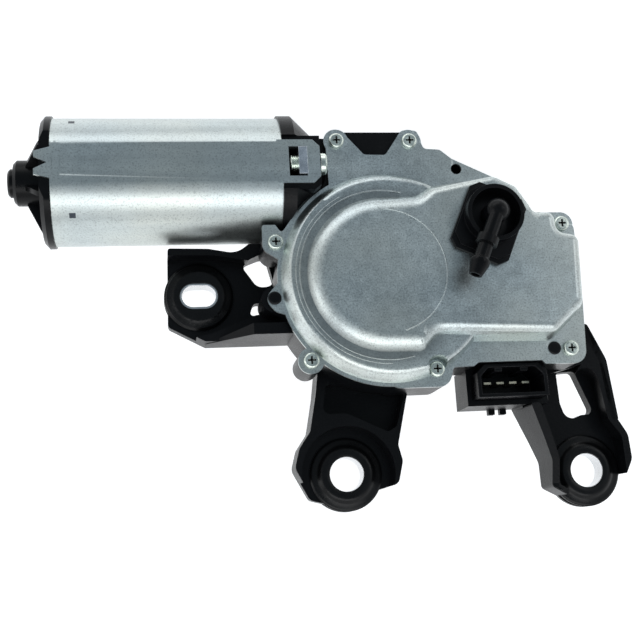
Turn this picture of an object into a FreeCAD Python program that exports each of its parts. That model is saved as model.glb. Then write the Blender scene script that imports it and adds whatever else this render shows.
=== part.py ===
import FreeCAD, Part
import math
import os

V = FreeCAD.Vector

# Frame: the output shaft turns about Z, its free end points down (-Z), the cover faces up (+Z).
# The origin lies on the output shaft axis, in the plane of the lower faces of the three feet.
# The armature runs along X. All lengths are in millimetres, all angles in degrees.

# Fits and gaps
RUN_FIT = 0.04
SLIP_FIT = 0.15
SOLID_GAP = 0.3

# Levels of the gear housing and its cover
FLOOR_BOTTOM = 3.0
FLOOR_THICK = 3.0
SEAT_Z = 28.0
GASKET_THICK = 0.8
COVER_THICK = 1.2
SHELF_RISE = 6.0
PLATEAU_RISE = 10.0
COVER_UNDER = SEAT_Z + GASKET_THICK
COVER_TOP = COVER_UNDER + COVER_THICK
SHELF_Z = COVER_TOP + SHELF_RISE
PLATEAU_Z = COVER_TOP + PLATEAU_RISE
FLOOR_TOP = FLOOR_BOTTOM + FLOOR_THICK

# Motor axis and can
MOTOR_Y = 23.6
MOTOR_Z = 15.0
CAN_RADIUS = 24.0
CAN_WALL = 1.6
CAN_FLAT = 22.8
CAN_LEFT = -159.7
CAN_RIGHT = -76.1
CAN_BEAD = 0.7
CAN_ROOM = 0.6
TAB_THICK = 1.2
TAB_HALF = 8.4
TAB_LENGTH = 14.0
TAB_CHAMFER = 2.6
TAB_WINDOW_START = 2.4
TAB_WINDOW_LENGTH = 6.7
TAB_WINDOW_HALF = 5.7
REAR_TAB_LENGTH = 5.6
REAR_TAB_HALF = 6.4
REAR_TAB_NOTCH = 4.6
REAR_TAB_TAPER = 2.0
NUT_HALF = 5.2
NUT_THICK = 3.2
NUT_ROOM = 3.4
FIX_SCREW_RADIUS = 2.5
FIX_HEAD_RADIUS = 4.1
FIX_HEAD_THICK = 2.4
FIX_HEAD_ROOM = 0.6
FIX_RISE = CAN_FLAT - 3.9
NUT_RIGHT = CAN_RIGHT + TAB_WINDOW_START + TAB_WINDOW_LENGTH

# Worm gear
MODULE = 1.25
WHEEL_TEETH = 57
WORM_PITCH_RADIUS = 5.1
PRESSURE_ANGLE = 20.0
WHEEL_FACE = 9.0
WHEEL_WEB = 4.0
WHEEL_RIM = 3.4
WHEEL_HUB_RADIUS = 7.5
WHEEL_RIBS = 6
WHEEL_RIB_WIDTH = 2.0
WORM_LENGTH = 25.0
WORM_THREAD_HALF = 0.82
WORM_STEPS = 14
TOOTH_BACKLASH = 0.13
ADDENDUM = 0.85
DEDENDUM = 1.1
STUB_ADDENDUM = 0.8
STUB_DEDENDUM = 1.05
TOOTH_ROOT_SINK = 0.4
FLANK_STEPS = 3
WHEEL_PITCH_RADIUS = MODULE * WHEEL_TEETH / 2
GEAR_CENTRES = WHEEL_PITCH_RADIUS + WORM_PITCH_RADIUS
WHEEL_X = -39.7
WHEEL_Y = MOTOR_Y - GEAR_CENTRES
WHEEL_LOW = MOTOR_Z - WHEEL_FACE / 2
WHEEL_HIGH = MOTOR_Z + WHEEL_FACE / 2
AXLE_RADIUS = 3.0
CLIP_OVERLAP = 1.8

# Crank, rod, sector and pinion
CRANK_RADIUS = 7.6
CRANK_PIN_RADIUS = 2.5
PINION_TEETH = 14
PINION_PITCH_RADIUS = MODULE * PINION_TEETH / 2
SECTOR_PITCH_RADIUS = 11.25
SECTOR_TEETH = 5
LINK_CENTRES = PINION_PITCH_RADIUS + SECTOR_PITCH_RADIUS
ROD_LOW = 25.0
ROD_THICK = 4.0
ROD_HALF_WIDTH = 4.2
ROD_EYE_RADIUS = 6.2
LINK_THICK = 2.0
LINK_HALF_WIDTH = 6.5
SECTOR_PIN_RADIUS = 2.5

# Output shaft, tower and bushes
SHAFT_RADIUS = 5.3
SHAFT_COLLAR_RADIUS = 6.0
SHAFT_TOP_RADIUS = 5.0
SHAFT_BORE = 2.0
SHAFT_TOP = 35.0
TOWER_RADIUS = 12.5
TOWER_END_RADIUS = 11.0
TOWER_BOTTOM = -32.0
BUSH_WALL = 2.2
BUSH_LENGTH = 14.0
CONE_TOP = -42.0
CONE_LENGTH = 8.0
CONE_END_RADIUS = 4.7
STUD_RADIUS = 4.0
STUD_LENGTH = 12.0
SHAFT_BOSS_RADIUS = 11.0
SHAFT_BOSS_TOP = WHEEL_LOW - 2 * SOLID_GAP
WASHER_THICK = 0.8
SEAL_WALL = 2.2
SEAL_LENGTH = 12.0
CLIP_THICK = 1.0
CLIP_RADIUS = 7.6

# Armature and field
SHAFT_ARM_RADIUS = 4.0
ARM_REAR = -173.0
ARM_FRONT = -20.0
CORE_RADIUS = 17.2
CORE_START = -143.0
CORE_LENGTH = 38.0
CORE_SLOTS = 12
CORE_SLOT_WIDTH = 2.4
CORE_SLOT_DEPTH = 6.5
WINDING_LENGTH = 8.0
WINDING_RADIUS = 15.5
COMMUTATOR_RADIUS = 9.0
COMMUTATOR_LENGTH = 13.0
COMMUTATOR_START = -94.5
COMMUTATOR_BARS = 12
BAR_GAP = 0.6
BAR_DEPTH = 1.6
MAGNET_THICK = 4.2
MAGNET_LENGTH = 46.0
MAGNET_ANGLE = 124.0
BRUSH_WIDTH = 6.0
BRUSH_LENGTH = 5.4
BRUSH_THICK = 5.0
BRUSH_BOX_GAP = 1.4
BRUSH_BOX_REACH = 17.8
BRUSH_BOX_WALL = 1.2
SPRING_RADIUS = 2.0
PLATE_THICK = 3.0
REAR_BEARING_RADIUS = 6.2
BEARING_RADIUS = 8.0
BEARING_LENGTH = 7.0
FRONT_BEARING_X = -65.0
END_BUSH_RADIUS = 5.0
END_BUSH_LENGTH = 5.0
ARM_END_RADIUS = 3.0
THRUST_THICK = 1.6

# Brush plate, next to the spigot of the housing neck
NECK_SPIGOT = 4.0
PLATE_LEFT = CAN_RIGHT - NECK_SPIGOT - SOLID_GAP - PLATE_THICK

# End cap
CAP_RADIUS = 24.8
CAP_THICK = 3.2
CAP_BOSS_RADIUS = 9.6
CAP_END = -176.6
CAP_SPIGOT = 3.0
CAP_BLOCK_HALF = 7.2
CAP_RIBS = 6
CAP_RIB_THICK = 1.8

# Gear housing
WALL = 3.0
BOWL_RADIUS = 40.6
CAVITY_RADIUS = 37.0
WHEEL_ROOM = 0.8
TUNNEL_RADIUS = 7.4
TUNNEL_END = -22.0
TUNNEL_HALF_WIDTH = 12.5
NECK_RADIUS = 25.0
NECK_FLANGE = 5.0
NECK_LENGTH = 17.0
NECK_END_RADIUS = 13.5
LUG_HALF = 10.4
LUG_LENGTH = TAB_LENGTH + SOLID_GAP
LUG_RIGHT = CAN_RIGHT + LUG_LENGTH
TUNNEL_START = 9.0
TUNNEL_END_WALL = 2.0
BACK_LEFT = -52.0
BACK_RIGHT = -28.0
BACK_REACH = 15.0
RIGHT_FLOOR = 12.0
RIGHT_FLOOR_THICK = 3.0
BOSS_RADIUS = 4.7
BOSS_BOTTOM = 12.0

# Cover
BOWL_RIM_X = -38.2
BOWL_RIM_Y = -19.1
BOWL_RIM_RADIUS = 41.2
SHELF_FOOT_RADIUS = 40.4
SHELF_RADIUS = 38.2
DOME_DRAFT = 2.2
SHELF_EDGE_RADIUS = 2.0
DOME_EDGE_RADIUS = 3.2
SCREW_RELIEF = 3.6
DISC_X = -41.2
DISC_Y = -19.1
DISC_RADIUS = 23.2
DISC_DEPTH = 0.25

# Screws, plugs and the open hole in the cover: centres
COVER_SCREWS = [(-54.4, 34.2), (-26.1, 34.1), (-79.4, -5.2), (-68.6, -49.8),
                (-22.4, -54.5), (29.9, -48.3), (31.3, 0.3)]
PLUGS = [(-80.7, -26.2), (23.7, -48.0)]
COVER_HOLE = (-8.3, 22.9)
COVER_HOLE_RADIUS = 2.1
EAR_RADIUS = 4.8
SCREW_RADIUS = 1.5
SCREW_HEAD_RADIUS = 2.9
SCREW_HEAD_HEIGHT = 1.8
SCREW_LENGTH = 12.0
SCREW_RECESS_WIDTH = 0.7
SCREW_RECESS_DEPTH = 0.9
PLUG_RADIUS = 2.5
PLUG_RISE = 0.8
PLUG_LENGTH = 8.0

# Cover outline right of the bowl: corner x, corner y, corner radius
COVER_EDGE = [(-58.0, 12.0, 1.0), (-58.6, 37.6, 2.0), (-51.4, 37.6, 1.5), (-43.9, 28.9, 2.0),
              (-35.6, 28.7, 2.0), (-28.8, 38.6, 2.0), (-22.6, 38.6, 2.0), (-20.6, 31.2, 2.0),
              (-14.2, 30.8, 2.5), (-9.8, 27.1, 2.5), (5.0, 20.0, 6.0), (13.6, 15.4, 6.0),
              (20.0, 5.2, 3.0), (33.2, 5.0, 3.0), (36.4, -1.0, 3.0), (37.0, -26.0, 8.0),
              (35.8, -54.1, 5.0), (19.6, -53.8, 1.0), (18.4, -52.4, 1.0), (-6.2, -52.4, 1.0),
              (-8.0, -53.8, 1.0), (-15.8, -53.9, 1.5), (-18.0, -61.0, 5.0), (-42.0, -61.0, 6.0),
              (-40.0, -20.0, 1.0)]
PLUG_TAB = [(-60.0, -22.0, 1.0), (-79.5, -20.6, 1.0), (-84.5, -26.5, 4.0), (-80.5, -31.4, 4.0),
            (-60.0, -38.0, 1.0)]
LEFT_EAR_TAB = [(-84.2, 1.6, 1.0), (-79.2, 1.6, 0.5), (-77.0, -1.6, 1.0), (-70.0, 8.0, 1.0),
                (-62.0, -12.0, 1.0), (-78.0, -12.0, 1.5), (-84.2, -8.0, 3.0)]

# Raised plateau of the cover: corner x, corner y, corner radius at its foot
PLATEAU_EDGE = [(-72.2, -51.6, 32.2), (-27.2, -51.6, 7.0), (-21.4, -44.6, 4.0), (22.6, -45.6, 6.0),
                (35.9, -33.4, 6.0), (36.2, -5.0, 5.0), (27.8, -3.6, 2.0), (27.4, 4.6, 5.0),
                (19.4, 4.4, 4.0), (13.0, 14.4, 6.0), (3.8, 19.0, 6.0), (-21.6, 15.6, 6.0),
                (-27.2, 12.8, 4.0), (-72.2, 12.8, 32.2)]

# Cavity right of the wheel, for the rod, the link and the contact plate
RIGHT_CAVITY = [(-34.0, -45.0, 3.0), (20.0, -42.0, 4.0), (31.0, -31.0, 4.0), (31.4, -9.0, 4.0),
                (22.0, -2.0, 5.0), (12.0, 11.5, 5.0), (-4.0, 14.5, 4.0), (-34.0, 9.0, 4.0)]

# Feet: centre of each hole
LEFT_FOOT = (-107.2, -19.7)
CENTRE_FOOT = (-54.5, -89.7)
RIGHT_FOOT = (39.8, -92.7)
FOOT_PLATE_LOW = 3.0
FOOT_PLATE_THICK = 3.0
FOOT_FLOOR_TOP = FOOT_PLATE_LOW + FOOT_PLATE_THICK
ARM_TOP = 14.0
ARM_LOW = 1.0
ARM_WALL = 3.2
GROMMET_RADIUS = 13.2
GROMMET_GROOVE = 10.2
GROMMET_HEIGHT = 9.0
GROMMET_NOSE = 10.6
SLEEVE_BORE = 6.4
SLEEVE_WALL = 1.0
SLEEVE_LENGTH = 8.0
SLEEVE_LOW = 0.5
LEFT_GROMMET_RADIUS = 12.0
SLOT_LENGTH = 12.8
SLOT_WIDTH = 8.2

# Arm outlines: corner x, corner y, corner radius
CENTRE_ARM = [(-62.5, -40.0, 1.0), (-65.4, -60.0, 3.0), (-68.2, -73.6, 3.0), (-72.6, -79.8, 4.0),
              (-74.6, -87.0, 4.0), (-68.6, -98.6, 3.0), (-54.5, -102.4, 8.0), (-43.6, -96.4, 5.0),
              (-36.0, -94.4, 3.0), (-33.8, -86.0, 4.0), (-35.2, -80.0, 3.0), (-28.6, -54.0, 3.0),
              (-28.6, -40.0, 1.0)]
CENTRE_RECESS_RADIUS = 17.6
CENTRE_POCKET = [(-61.4, -56.4, 1.5), (-63.2, -67.4, 2.5), (-54.0, -67.4, 6.0), (-38.6, -75.0, 2.0),
                 (-35.2, -73.0, 2.0), (-31.8, -62.0, 1.5), (-31.6, -56.4, 1.5)]
CENTRE_POCKET_FLOOR = 7.0
RIGHT_ARM = [(10.4, -58.0, 1.0), (20.2, -80.6, 5.0), (23.4, -88.6, 5.0), (23.6, -98.2, 3.0),
             (38.0, -106.0, 8.0), (52.4, -97.6, 5.0), (56.6, -89.4, 5.0), (56.0, -80.0, 6.0),
             (52.0, -73.0, 4.0), (48.0, -45.0, 6.0), (40.0, -30.0, 2.0), (26.0, -30.0, 1.0),
             (12.0, -50.0, 1.0)]
RIGHT_ARM_HOLLOW = [(18.2, -63.0, 2.0), (25.0, -83.0, 4.0), (26.2, -98.4, 2.0), (36.0, -112.0, 2.0),
                    (54.0, -100.0, 3.0), (53.4, -80.4, 5.0), (48.6, -73.6, 3.0), (44.6, -46.0, 5.0),
                    (40.0, -52.0, 1.0), (24.0, -56.0, 1.0)]
RIGHT_WINDOW = [(32.4, -54.0, 1.0), (37.0, -53.4, 2.0), (43.4, -70.0, 2.5), (35.0, -73.4, 4.0),
                (32.8, -66.0, 2.0)]
RIGHT_SMALL_WINDOW = [(25.2, -58.6, 1.0), (28.4, -58.6, 1.0), (28.0, -66.0, 1.5), (23.0, -66.0, 1.0)]
LEFT_ARM = [(-118.6, -2.2, 1.0), (-119.2, -31.0, 2.0), (-105.6, -38.4, 2.0), (-74.0, -38.4, 1.0),
            (-70.0, 2.0, 1.0), (-84.0, 2.0, 2.0), (-92.6, -4.6, 8.0), (-103.4, -2.6, 4.0)]
LEFT_HOLLOW = [(-125.0, -4.8, 1.0), (-125.0, -40.0, 1.0), (-103.0, -35.4, 2.0), (-86.0, -28.8, 3.0),
               (-70.0, -28.8, 1.0), (-70.0, -3.0, 1.0), (-88.0, -7.6, 4.0), (-101.0, -5.2, 3.0)]
LEFT_WINDOW = [(-89.6, -8.0, 2.0), (-82.4, -4.6, 2.0), (-80.2, -15.4, 2.0), (-85.0, -16.2, 3.0)]
LEFT_SMALL_WINDOW = [(-86.4, -22.6, 2.0), (-82.6, -22.6, 1.5), (-82.6, -27.2, 1.0), (-88.0, -27.4, 1.0)]

# Connector
CONNECTOR_X = 7.4
CONNECTOR_Y = -58.9
SHROUD_LENGTH = 27.2
SHROUD_WIDTH = 12.6
SHROUD_WALL = 1.5
SHROUD_LOW = 6.0
SHROUD_TOP = 27.0
SHROUD_FLOOR = 11.0
SHROUD_CHAMFER = 3.0
PIN_COUNT = 4
PIN_PITCH = 5.0
PIN_WIDTH = 2.8
PIN_THICK = 0.8
PIN_TOP = 19.0
KEY_WIDTH = 3.0
KEY_DEPTH = 1.4
KEY_OFFSET = 5.0
BAY_WALL = 2.0
BAY_TOP = 19.0
BAY_LOW = 3.0
CONTACT_PLATE_THICK = 1.6

# Washer inlet on the output axis
INLET_ANGLE = -114.0
INLET_WIDTH = 22.0
INLET_LENGTH = 24.4
INLET_SHIFT = 2.7
INLET_CORNER = 3.6
INLET_THICK = 3.0
CUP_RADIUS = 10.7
CUP_WALL = 1.5
CUP_HEIGHT = 5.0
HUB_RADIUS = 4.3
SPIGOT_RADIUS = 5.4
SPIGOT_LENGTH = 2.9
ELBOW_RISE = 7.0
ELBOW_RADIUS = 2.8
ELBOW_BORE = 1.6
ELBOW_COLLAR_RADIUS = 4.0
ELBOW_COLLAR_AT = 11.0
ELBOW_COLLAR_LENGTH = 3.0
BARB_RADIUS = 3.7
BARB_AT = 19.2
ELBOW_REACH = 26.4
TUBE_RADIUS = 1.58
TUBE_BORE = 1.0
RING_SECTION = 0.9


def polar(radius, angle):
    """Point at a radius and an angle in the XY plane."""
    return radius * math.cos(math.radians(angle)), radius * math.sin(math.radians(angle))


def disc(radius, low, high, x=0.0, y=0.0):
    """Upright cylinder between two levels."""
    return Part.makeCylinder(radius, high - low, V(x, y, low))


def tube(outer, inner, low, high, x=0.0, y=0.0):
    """Upright tube between two levels."""
    return disc(outer, low, high, x, y).cut(disc(inner, low - 1, high + 1, x, y))


def rod_x(radius, left, right, y=MOTOR_Y, z=MOTOR_Z):
    """Cylinder along X, on the motor axis unless another is given."""
    return Part.makeCylinder(radius, right - left, V(left, y, z), V(1, 0, 0))


def tube_x(outer, inner, left, right, y=MOTOR_Y, z=MOTOR_Z):
    """Tube along X."""
    return rod_x(outer, left, right, y, z).cut(rod_x(inner, left - 1, right + 1, y, z))


def block(x0, x1, y0, y1, z0, z1):
    """Box between two corners, given in any order."""
    corner = V(min(x0, x1), min(y0, y1), min(z0, z1))
    return Part.makeBox(abs(x1 - x0), abs(y1 - y0), abs(z1 - z0), corner)


def rounded_wire(corners, z):
    """Closed wire of straight runs and tangent arcs through corners given as x, y, radius."""
    starts = []
    mids = []
    ends = []
    count = len(corners)
    for i in range(count):
        here = V(corners[i][0], corners[i][1], z)
        before = V(corners[i - 1][0], corners[i - 1][1], z) - here
        after = V(corners[(i + 1) % count][0], corners[(i + 1) % count][1], z) - here
        before.normalize()
        after.normalize()
        half = before.getAngle(after) / 2
        radius = corners[i][2]
        reach = radius / math.tan(half)
        middle = before + after
        middle.normalize()
        starts.append(here + before * reach)
        ends.append(here + after * reach)
        mids.append(here + middle * (radius / math.sin(half) - radius))
    edges = []
    for i in range(count):
        edges.append(Part.Arc(starts[i], mids[i], ends[i]).toShape())
        following = starts[(i + 1) % count]
        if (following - ends[i]).Length > 0.001:
            edges.append(Part.LineSegment(ends[i], following).toShape())
    return Part.Wire(edges)


def prism(corners, low, high):
    """Upright prism on a rounded outline."""
    face = Part.Face(rounded_wire(corners, low))
    return face.extrude(V(0, 0, high - low))


def solid_of(shape):
    """Single clean solid of a boolean result."""
    solids = shape.removeSplitter().Solids
    if len(solids) != 1:
        raise ValueError("expected one solid, got %d" % len(solids))
    return solids[0]


def group(solids):
    """Compound of separate solids."""
    return Part.makeCompound(solids)


def turned(points, x=0.0, y=0.0):
    """Body of revolution about an upright axis, from radius and level points."""
    wire = Part.makePolygon([V(x + r, y, z) for r, z in points + points[:1]])
    return Part.Face(wire).revolve(V(x, y, 0), V(0, 0, 1), 360)


def turned_x(points, y=MOTOR_Y, z=MOTOR_Z):
    """Body of revolution about the motor axis, from x and radius points."""
    wire = Part.makePolygon([V(x, y + r, z) for x, r in points + points[:1]])
    return Part.Face(wire).revolve(V(0, y, z), V(1, 0, 0), 360)


def involute(angle):
    """Involute function of an angle in radians."""
    return math.tan(angle) - angle


def tooth_outline(pitch_radius, addendum, dedendum):
    """Half angles of one tooth at a few radii, from its root to its tip."""
    base = pitch_radius * math.cos(math.radians(PRESSURE_ANGLE))
    half_pitch = (math.pi * MODULE / 2 - TOOTH_BACKLASH) / (2 * pitch_radius)
    rows = []
    root = pitch_radius - dedendum
    for step in range(FLANK_STEPS + 1):
        radius = root + (addendum + dedendum) * step / FLANK_STEPS
        pressure = math.acos(min(1.0, base / radius))
        half = half_pitch + involute(math.radians(PRESSURE_ANGLE)) - involute(pressure)
        rows.append((radius, half))
    rows.insert(0, (root - TOOTH_ROOT_SINK, rows[0][1]))
    return rows


def tooth(rows, centre_angle, low, high, twist=0.0):
    """One tooth as a ruled loft between its lower and upper outline."""
    wires = []
    for z, lean in ((low, -twist / 2), (high, twist / 2)):
        middle = math.radians(centre_angle + lean)
        right = [(r, middle - half) for r, half in rows]
        left = [(r, middle + half) for r, half in reversed(rows)]
        points = [V(r * math.cos(a), r * math.sin(a), z) for r, a in right + left]
        wires.append(Part.makePolygon(points + points[:1]))
    return Part.makeLoft(wires, True, True)


def placed(shape, x, y, turn=0.0):
    """Shape turned about Z and moved to its place."""
    copy = shape.copy()
    copy.rotate(V(0, 0, 0), V(0, 0, 1), turn)
    copy.translate(V(x, y, 0))
    return copy


# Linkage at mid swing: the crank stands square to the line from the sector pin to the wheel
REACH = math.hypot(WHEEL_X, WHEEL_Y)
LINK_ANGLE = math.degrees(math.atan2(WHEEL_Y, WHEEL_X) + math.acos(LINK_CENTRES / REACH))
SECTOR_X, SECTOR_Y = polar(LINK_CENTRES, LINK_ANGLE)
CRANK_TURN = math.degrees(math.atan2(WHEEL_Y - SECTOR_Y, WHEEL_X - SECTOR_X)) - 90
CRANK_DX, CRANK_DY = polar(CRANK_RADIUS, CRANK_TURN)
CRANK_X = WHEEL_X + CRANK_DX
CRANK_Y = WHEEL_Y + CRANK_DY


def plate_blank(low, high, inset=0.0):
    """Outline that housing rim, gasket and cover share, as a flat blank."""
    shape = disc(BOWL_RIM_RADIUS - inset, low, high, BOWL_RIM_X, BOWL_RIM_Y)
    for outline in (COVER_EDGE, PLUG_TAB, LEFT_EAR_TAB):
        shape = shape.fuse(prism(outline, low, high))
    for x, y in COVER_SCREWS:
        shape = shape.fuse(disc(EAR_RADIUS - inset, low, high, x, y))
    return solid_of(shape)


def shrunk(corners, inset, z):
    """Rounded outline moved inwards by a distance."""
    return Part.Face(rounded_wire(corners, z)).makeOffset2D(-inset).OuterWire


def top_edges(shape, level):
    """Edges that lie flat at one level."""
    return [e for e in shape.Edges
            if abs(e.BoundBox.ZMin - level) < 0.01 and abs(e.BoundBox.ZMax - level) < 0.01]


def dome(skin):
    """Raised part of the cover; skin is how far the surface lies inside the outer one."""
    low = COVER_UNDER - 0.5 - skin
    shelf = Part.makeCone(SHELF_FOOT_RADIUS - skin, SHELF_RADIUS - skin, SHELF_Z - skin - low,
                          V(BOWL_RIM_X, BOWL_RIM_Y, low))
    shelf = shelf.makeFillet(SHELF_EDGE_RADIUS - skin / 2, top_edges(shelf, SHELF_Z - skin))
    for x, y in COVER_SCREWS:
        shelf = shelf.cut(disc(SCREW_RELIEF + skin, low, SHELF_Z, x, y))
    foot = shrunk(PLATEAU_EDGE, 0.02 + skin, low)
    head = shrunk(PLATEAU_EDGE, DOME_DRAFT + skin, PLATEAU_Z - skin)
    plateau = Part.makeLoft([foot, head], True, True)
    plateau = plateau.makeFillet(DOME_EDGE_RADIUS - 1.8 * skin, top_edges(plateau, PLATEAU_Z - skin))
    return shelf.fuse(plateau)


def make_cover_plate():
    """Pressed steel cover: flange, crescent shelf and plateau in one even skin."""
    flange = plate_blank(COVER_UNDER, COVER_TOP)
    above = block(-100, 60, -90, 60, COVER_UNDER, PLATEAU_Z + 1)
    cover = flange.fuse(dome(0.0).common(above)).cut(dome(COVER_THICK))
    for x, y in COVER_SCREWS:
        cover = cover.cut(disc(SCREW_RADIUS + SLIP_FIT, COVER_UNDER - 1, COVER_TOP + 1, x, y))
    for x, y in PLUGS:
        cover = cover.cut(disc(PLUG_RADIUS, COVER_UNDER - 1, COVER_TOP + 1, x, y))
    cover = cover.cut(disc(COVER_HOLE_RADIUS, COVER_UNDER - 1, COVER_TOP + 1, *COVER_HOLE))
    cover = cover.cut(disc(SPIGOT_RADIUS + SLIP_FIT, SHELF_Z, PLATEAU_Z + 1))
    rim = tube(DISC_RADIUS + 0.4, DISC_RADIUS - 0.4, PLATEAU_Z - DISC_DEPTH, PLATEAU_Z + 1,
               DISC_X, DISC_Y)
    return solid_of(cover.cut(rim))


def bowl_space(low, high):
    """Round space of the bowl, widened where the wheel reaches the worm."""
    tip = WHEEL_PITCH_RADIUS + ADDENDUM * MODULE + WHEEL_ROOM
    return disc(CAVITY_RADIUS, low, high, BOWL_RIM_X, BOWL_RIM_Y).fuse(disc(tip, low, high, WHEEL_X, WHEEL_Y))


def inner_space(low, high):
    """Space inside the housing that the gasket and the rim leave open."""
    return bowl_space(low, high).fuse(prism(RIGHT_CAVITY, low, high))


def make_cover_gasket():
    """Flat gasket between housing rim and cover."""
    gasket = plate_blank(SEAT_Z, COVER_UNDER, 0.3).cut(inner_space(SEAT_Z - 1, COVER_UNDER + 1))
    for x, y in COVER_SCREWS:
        gasket = gasket.cut(disc(SCREW_RADIUS + SLIP_FIT, SEAT_Z - 1, COVER_UNDER + 1, x, y))
    for x, y in PLUGS:
        gasket = gasket.cut(disc(PLUG_RADIUS, SEAT_Z - 1, COVER_UNDER + 1, x, y))
    gasket = gasket.cut(disc(COVER_HOLE_RADIUS, SEAT_Z - 1, COVER_UNDER + 1, *COVER_HOLE))
    return solid_of(gasket)


def make_cover_screws():
    """Seven pan head screws with a cross recess."""
    screws = []
    for x, y in COVER_SCREWS:
        head = disc(SCREW_HEAD_RADIUS, COVER_TOP, COVER_TOP + SCREW_HEAD_HEIGHT, x, y)
        head = head.makeFillet(SCREW_HEAD_HEIGHT / 2, top_edges(head, COVER_TOP + SCREW_HEAD_HEIGHT))
        shank = disc(SCREW_RADIUS, COVER_TOP - SCREW_LENGTH, COVER_TOP, x, y)
        screw = head.fuse(shank)
        for along, across in ((SCREW_RADIUS, SCREW_RECESS_WIDTH / 2), (SCREW_RECESS_WIDTH / 2, SCREW_RADIUS)):
            top = COVER_TOP + SCREW_HEAD_HEIGHT
            slot = block(x - along, x + along, y - across, y + across, top - SCREW_RECESS_DEPTH, top + 1)
            screw = screw.cut(slot)
        screws.append(solid_of(screw))
    return group(screws)


def make_locating_plugs():
    """Two plastic plugs that locate the cover on the housing."""
    plugs = []
    for x, y in PLUGS:
        top = COVER_TOP + PLUG_RISE
        plug = disc(PLUG_RADIUS, top - PLUG_LENGTH, top, x, y)
        plugs.append(plug.makeChamfer(PLUG_RISE / 2, top_edges(plug, top)))
    return group(plugs)


def foot_ring(centre):
    """Round pad of an arm that carries a grommet."""
    return disc(GROMMET_GROOVE + ARM_WALL, FOOT_PLATE_LOW, FOOT_FLOOR_TOP, *centre)


def centre_arm():
    """Broad arm to the centre foot, with a round recess and a pocket."""
    arm = prism(CENTRE_ARM, ARM_LOW, ARM_TOP)
    arm = arm.cut(disc(CENTRE_RECESS_RADIUS, FOOT_FLOOR_TOP, ARM_TOP + 1, *CENTRE_FOOT))
    arm = arm.cut(disc(GROMMET_RADIUS + SOLID_GAP, ARM_LOW - 1, FOOT_PLATE_LOW, *CENTRE_FOOT))
    arm = arm.cut(prism(CENTRE_POCKET, CENTRE_POCKET_FLOOR, ARM_TOP + 1))
    arm = arm.fuse(foot_ring(CENTRE_FOOT))
    return arm.cut(disc(GROMMET_GROOVE, ARM_LOW - 1, ARM_TOP + 1, *CENTRE_FOOT))


def right_arm():
    """Open frame arm to the right foot, with windows between its walls."""
    arm = prism(RIGHT_ARM, ARM_LOW, ARM_TOP)
    arm = arm.cut(prism(RIGHT_ARM_HOLLOW, FOOT_FLOOR_TOP, ARM_TOP + 1))
    arm = arm.cut(disc(GROMMET_RADIUS + SOLID_GAP, ARM_LOW - 1, FOOT_PLATE_LOW, *RIGHT_FOOT))
    arm = arm.fuse(foot_ring(RIGHT_FOOT))
    for window in (RIGHT_WINDOW, RIGHT_SMALL_WINDOW):
        arm = arm.cut(prism(window, ARM_LOW - 1, ARM_TOP + 1))
    return arm.cut(disc(GROMMET_GROOVE, ARM_LOW - 1, ARM_TOP + 1, *RIGHT_FOOT))


def left_arm():
    """Tray shaped arm to the left foot, below the motor can."""
    arm = prism(LEFT_ARM, ARM_LOW, ARM_TOP)
    arm = arm.cut(prism(LEFT_HOLLOW, FOOT_FLOOR_TOP, ARM_TOP + 1))
    arm = arm.cut(disc(LEFT_GROMMET_RADIUS + SOLID_GAP, ARM_LOW - 1, FOOT_PLATE_LOW, *LEFT_FOOT))
    for window in (LEFT_WINDOW, LEFT_SMALL_WINDOW):
        arm = arm.cut(prism(window, ARM_LOW - 1, ARM_TOP + 1))
    return arm.cut(disc(GROMMET_GROOVE, ARM_LOW - 1, ARM_TOP + 1, *LEFT_FOOT))


def neck():
    """Round flange that closes the can and tapers to the worm tunnel."""
    right = CAN_RIGHT + NECK_FLANGE
    shape = rod_x(NECK_RADIUS, CAN_RIGHT, right)
    taper = Part.makeCone(NECK_RADIUS, NECK_END_RADIUS, NECK_LENGTH - NECK_FLANGE,
                          V(right, MOTOR_Y, MOTOR_Z), V(1, 0, 0))
    flat = CAN_FLAT - TAB_THICK - SLIP_FIT
    shape = shape.fuse(taper)
    for side in (-1, 1):
        face = MOTOR_Z + side * flat
        lug = block(CAN_RIGHT, LUG_RIGHT, MOTOR_Y - LUG_HALF, MOTOR_Y + LUG_HALF,
                    MOTOR_Z + side * TUNNEL_RADIUS, face)
        above = block(CAN_RIGHT - NECK_SPIGOT, CAN_RIGHT + NECK_LENGTH, MOTOR_Y - LUG_HALF, MOTOR_Y + LUG_HALF,
                      face, face + side * NECK_RADIUS)
        shape = shape.fuse(lug).cut(above)
    spigot = can_profile(CAN_RADIUS - CAN_WALL - SLIP_FIT, CAN_FLAT - CAN_WALL - SLIP_FIT,
                         CAN_RIGHT - NECK_SPIGOT, CAN_RIGHT)
    return shape.fuse(spigot)


def make_can_nuts():
    """Square nuts that catch the windows of the can tabs, one on each flat."""
    nuts = []
    for side in (-1, 1):
        z = MOTOR_Z + side * FIX_RISE
        nut = block(NUT_RIGHT - NUT_THICK, NUT_RIGHT, MOTOR_Y - NUT_HALF, MOTOR_Y + NUT_HALF,
                    z - NUT_HALF, z + NUT_HALF)
        nuts.append(nut.cut(rod_x(FIX_SCREW_RADIUS, NUT_RIGHT - 9, NUT_RIGHT + 9, z=z)))
    return group(nuts)


def make_can_screws():
    """Two screws along X that pull the can against the housing neck."""
    screws = []
    for side in (-1, 1):
        z = MOTOR_Z + side * FIX_RISE
        shank = rod_x(FIX_SCREW_RADIUS, NUT_RIGHT - NUT_THICK - 2.6, LUG_RIGHT, z=z)
        head = rod_x(FIX_HEAD_RADIUS, LUG_RIGHT, LUG_RIGHT + FIX_HEAD_THICK, z=z)
        head = head.makeFillet(FIX_HEAD_THICK / 3, [head.Edges[0]])
        screws.append(solid_of(shank.fuse(head)))
    return group(screws)


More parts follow.
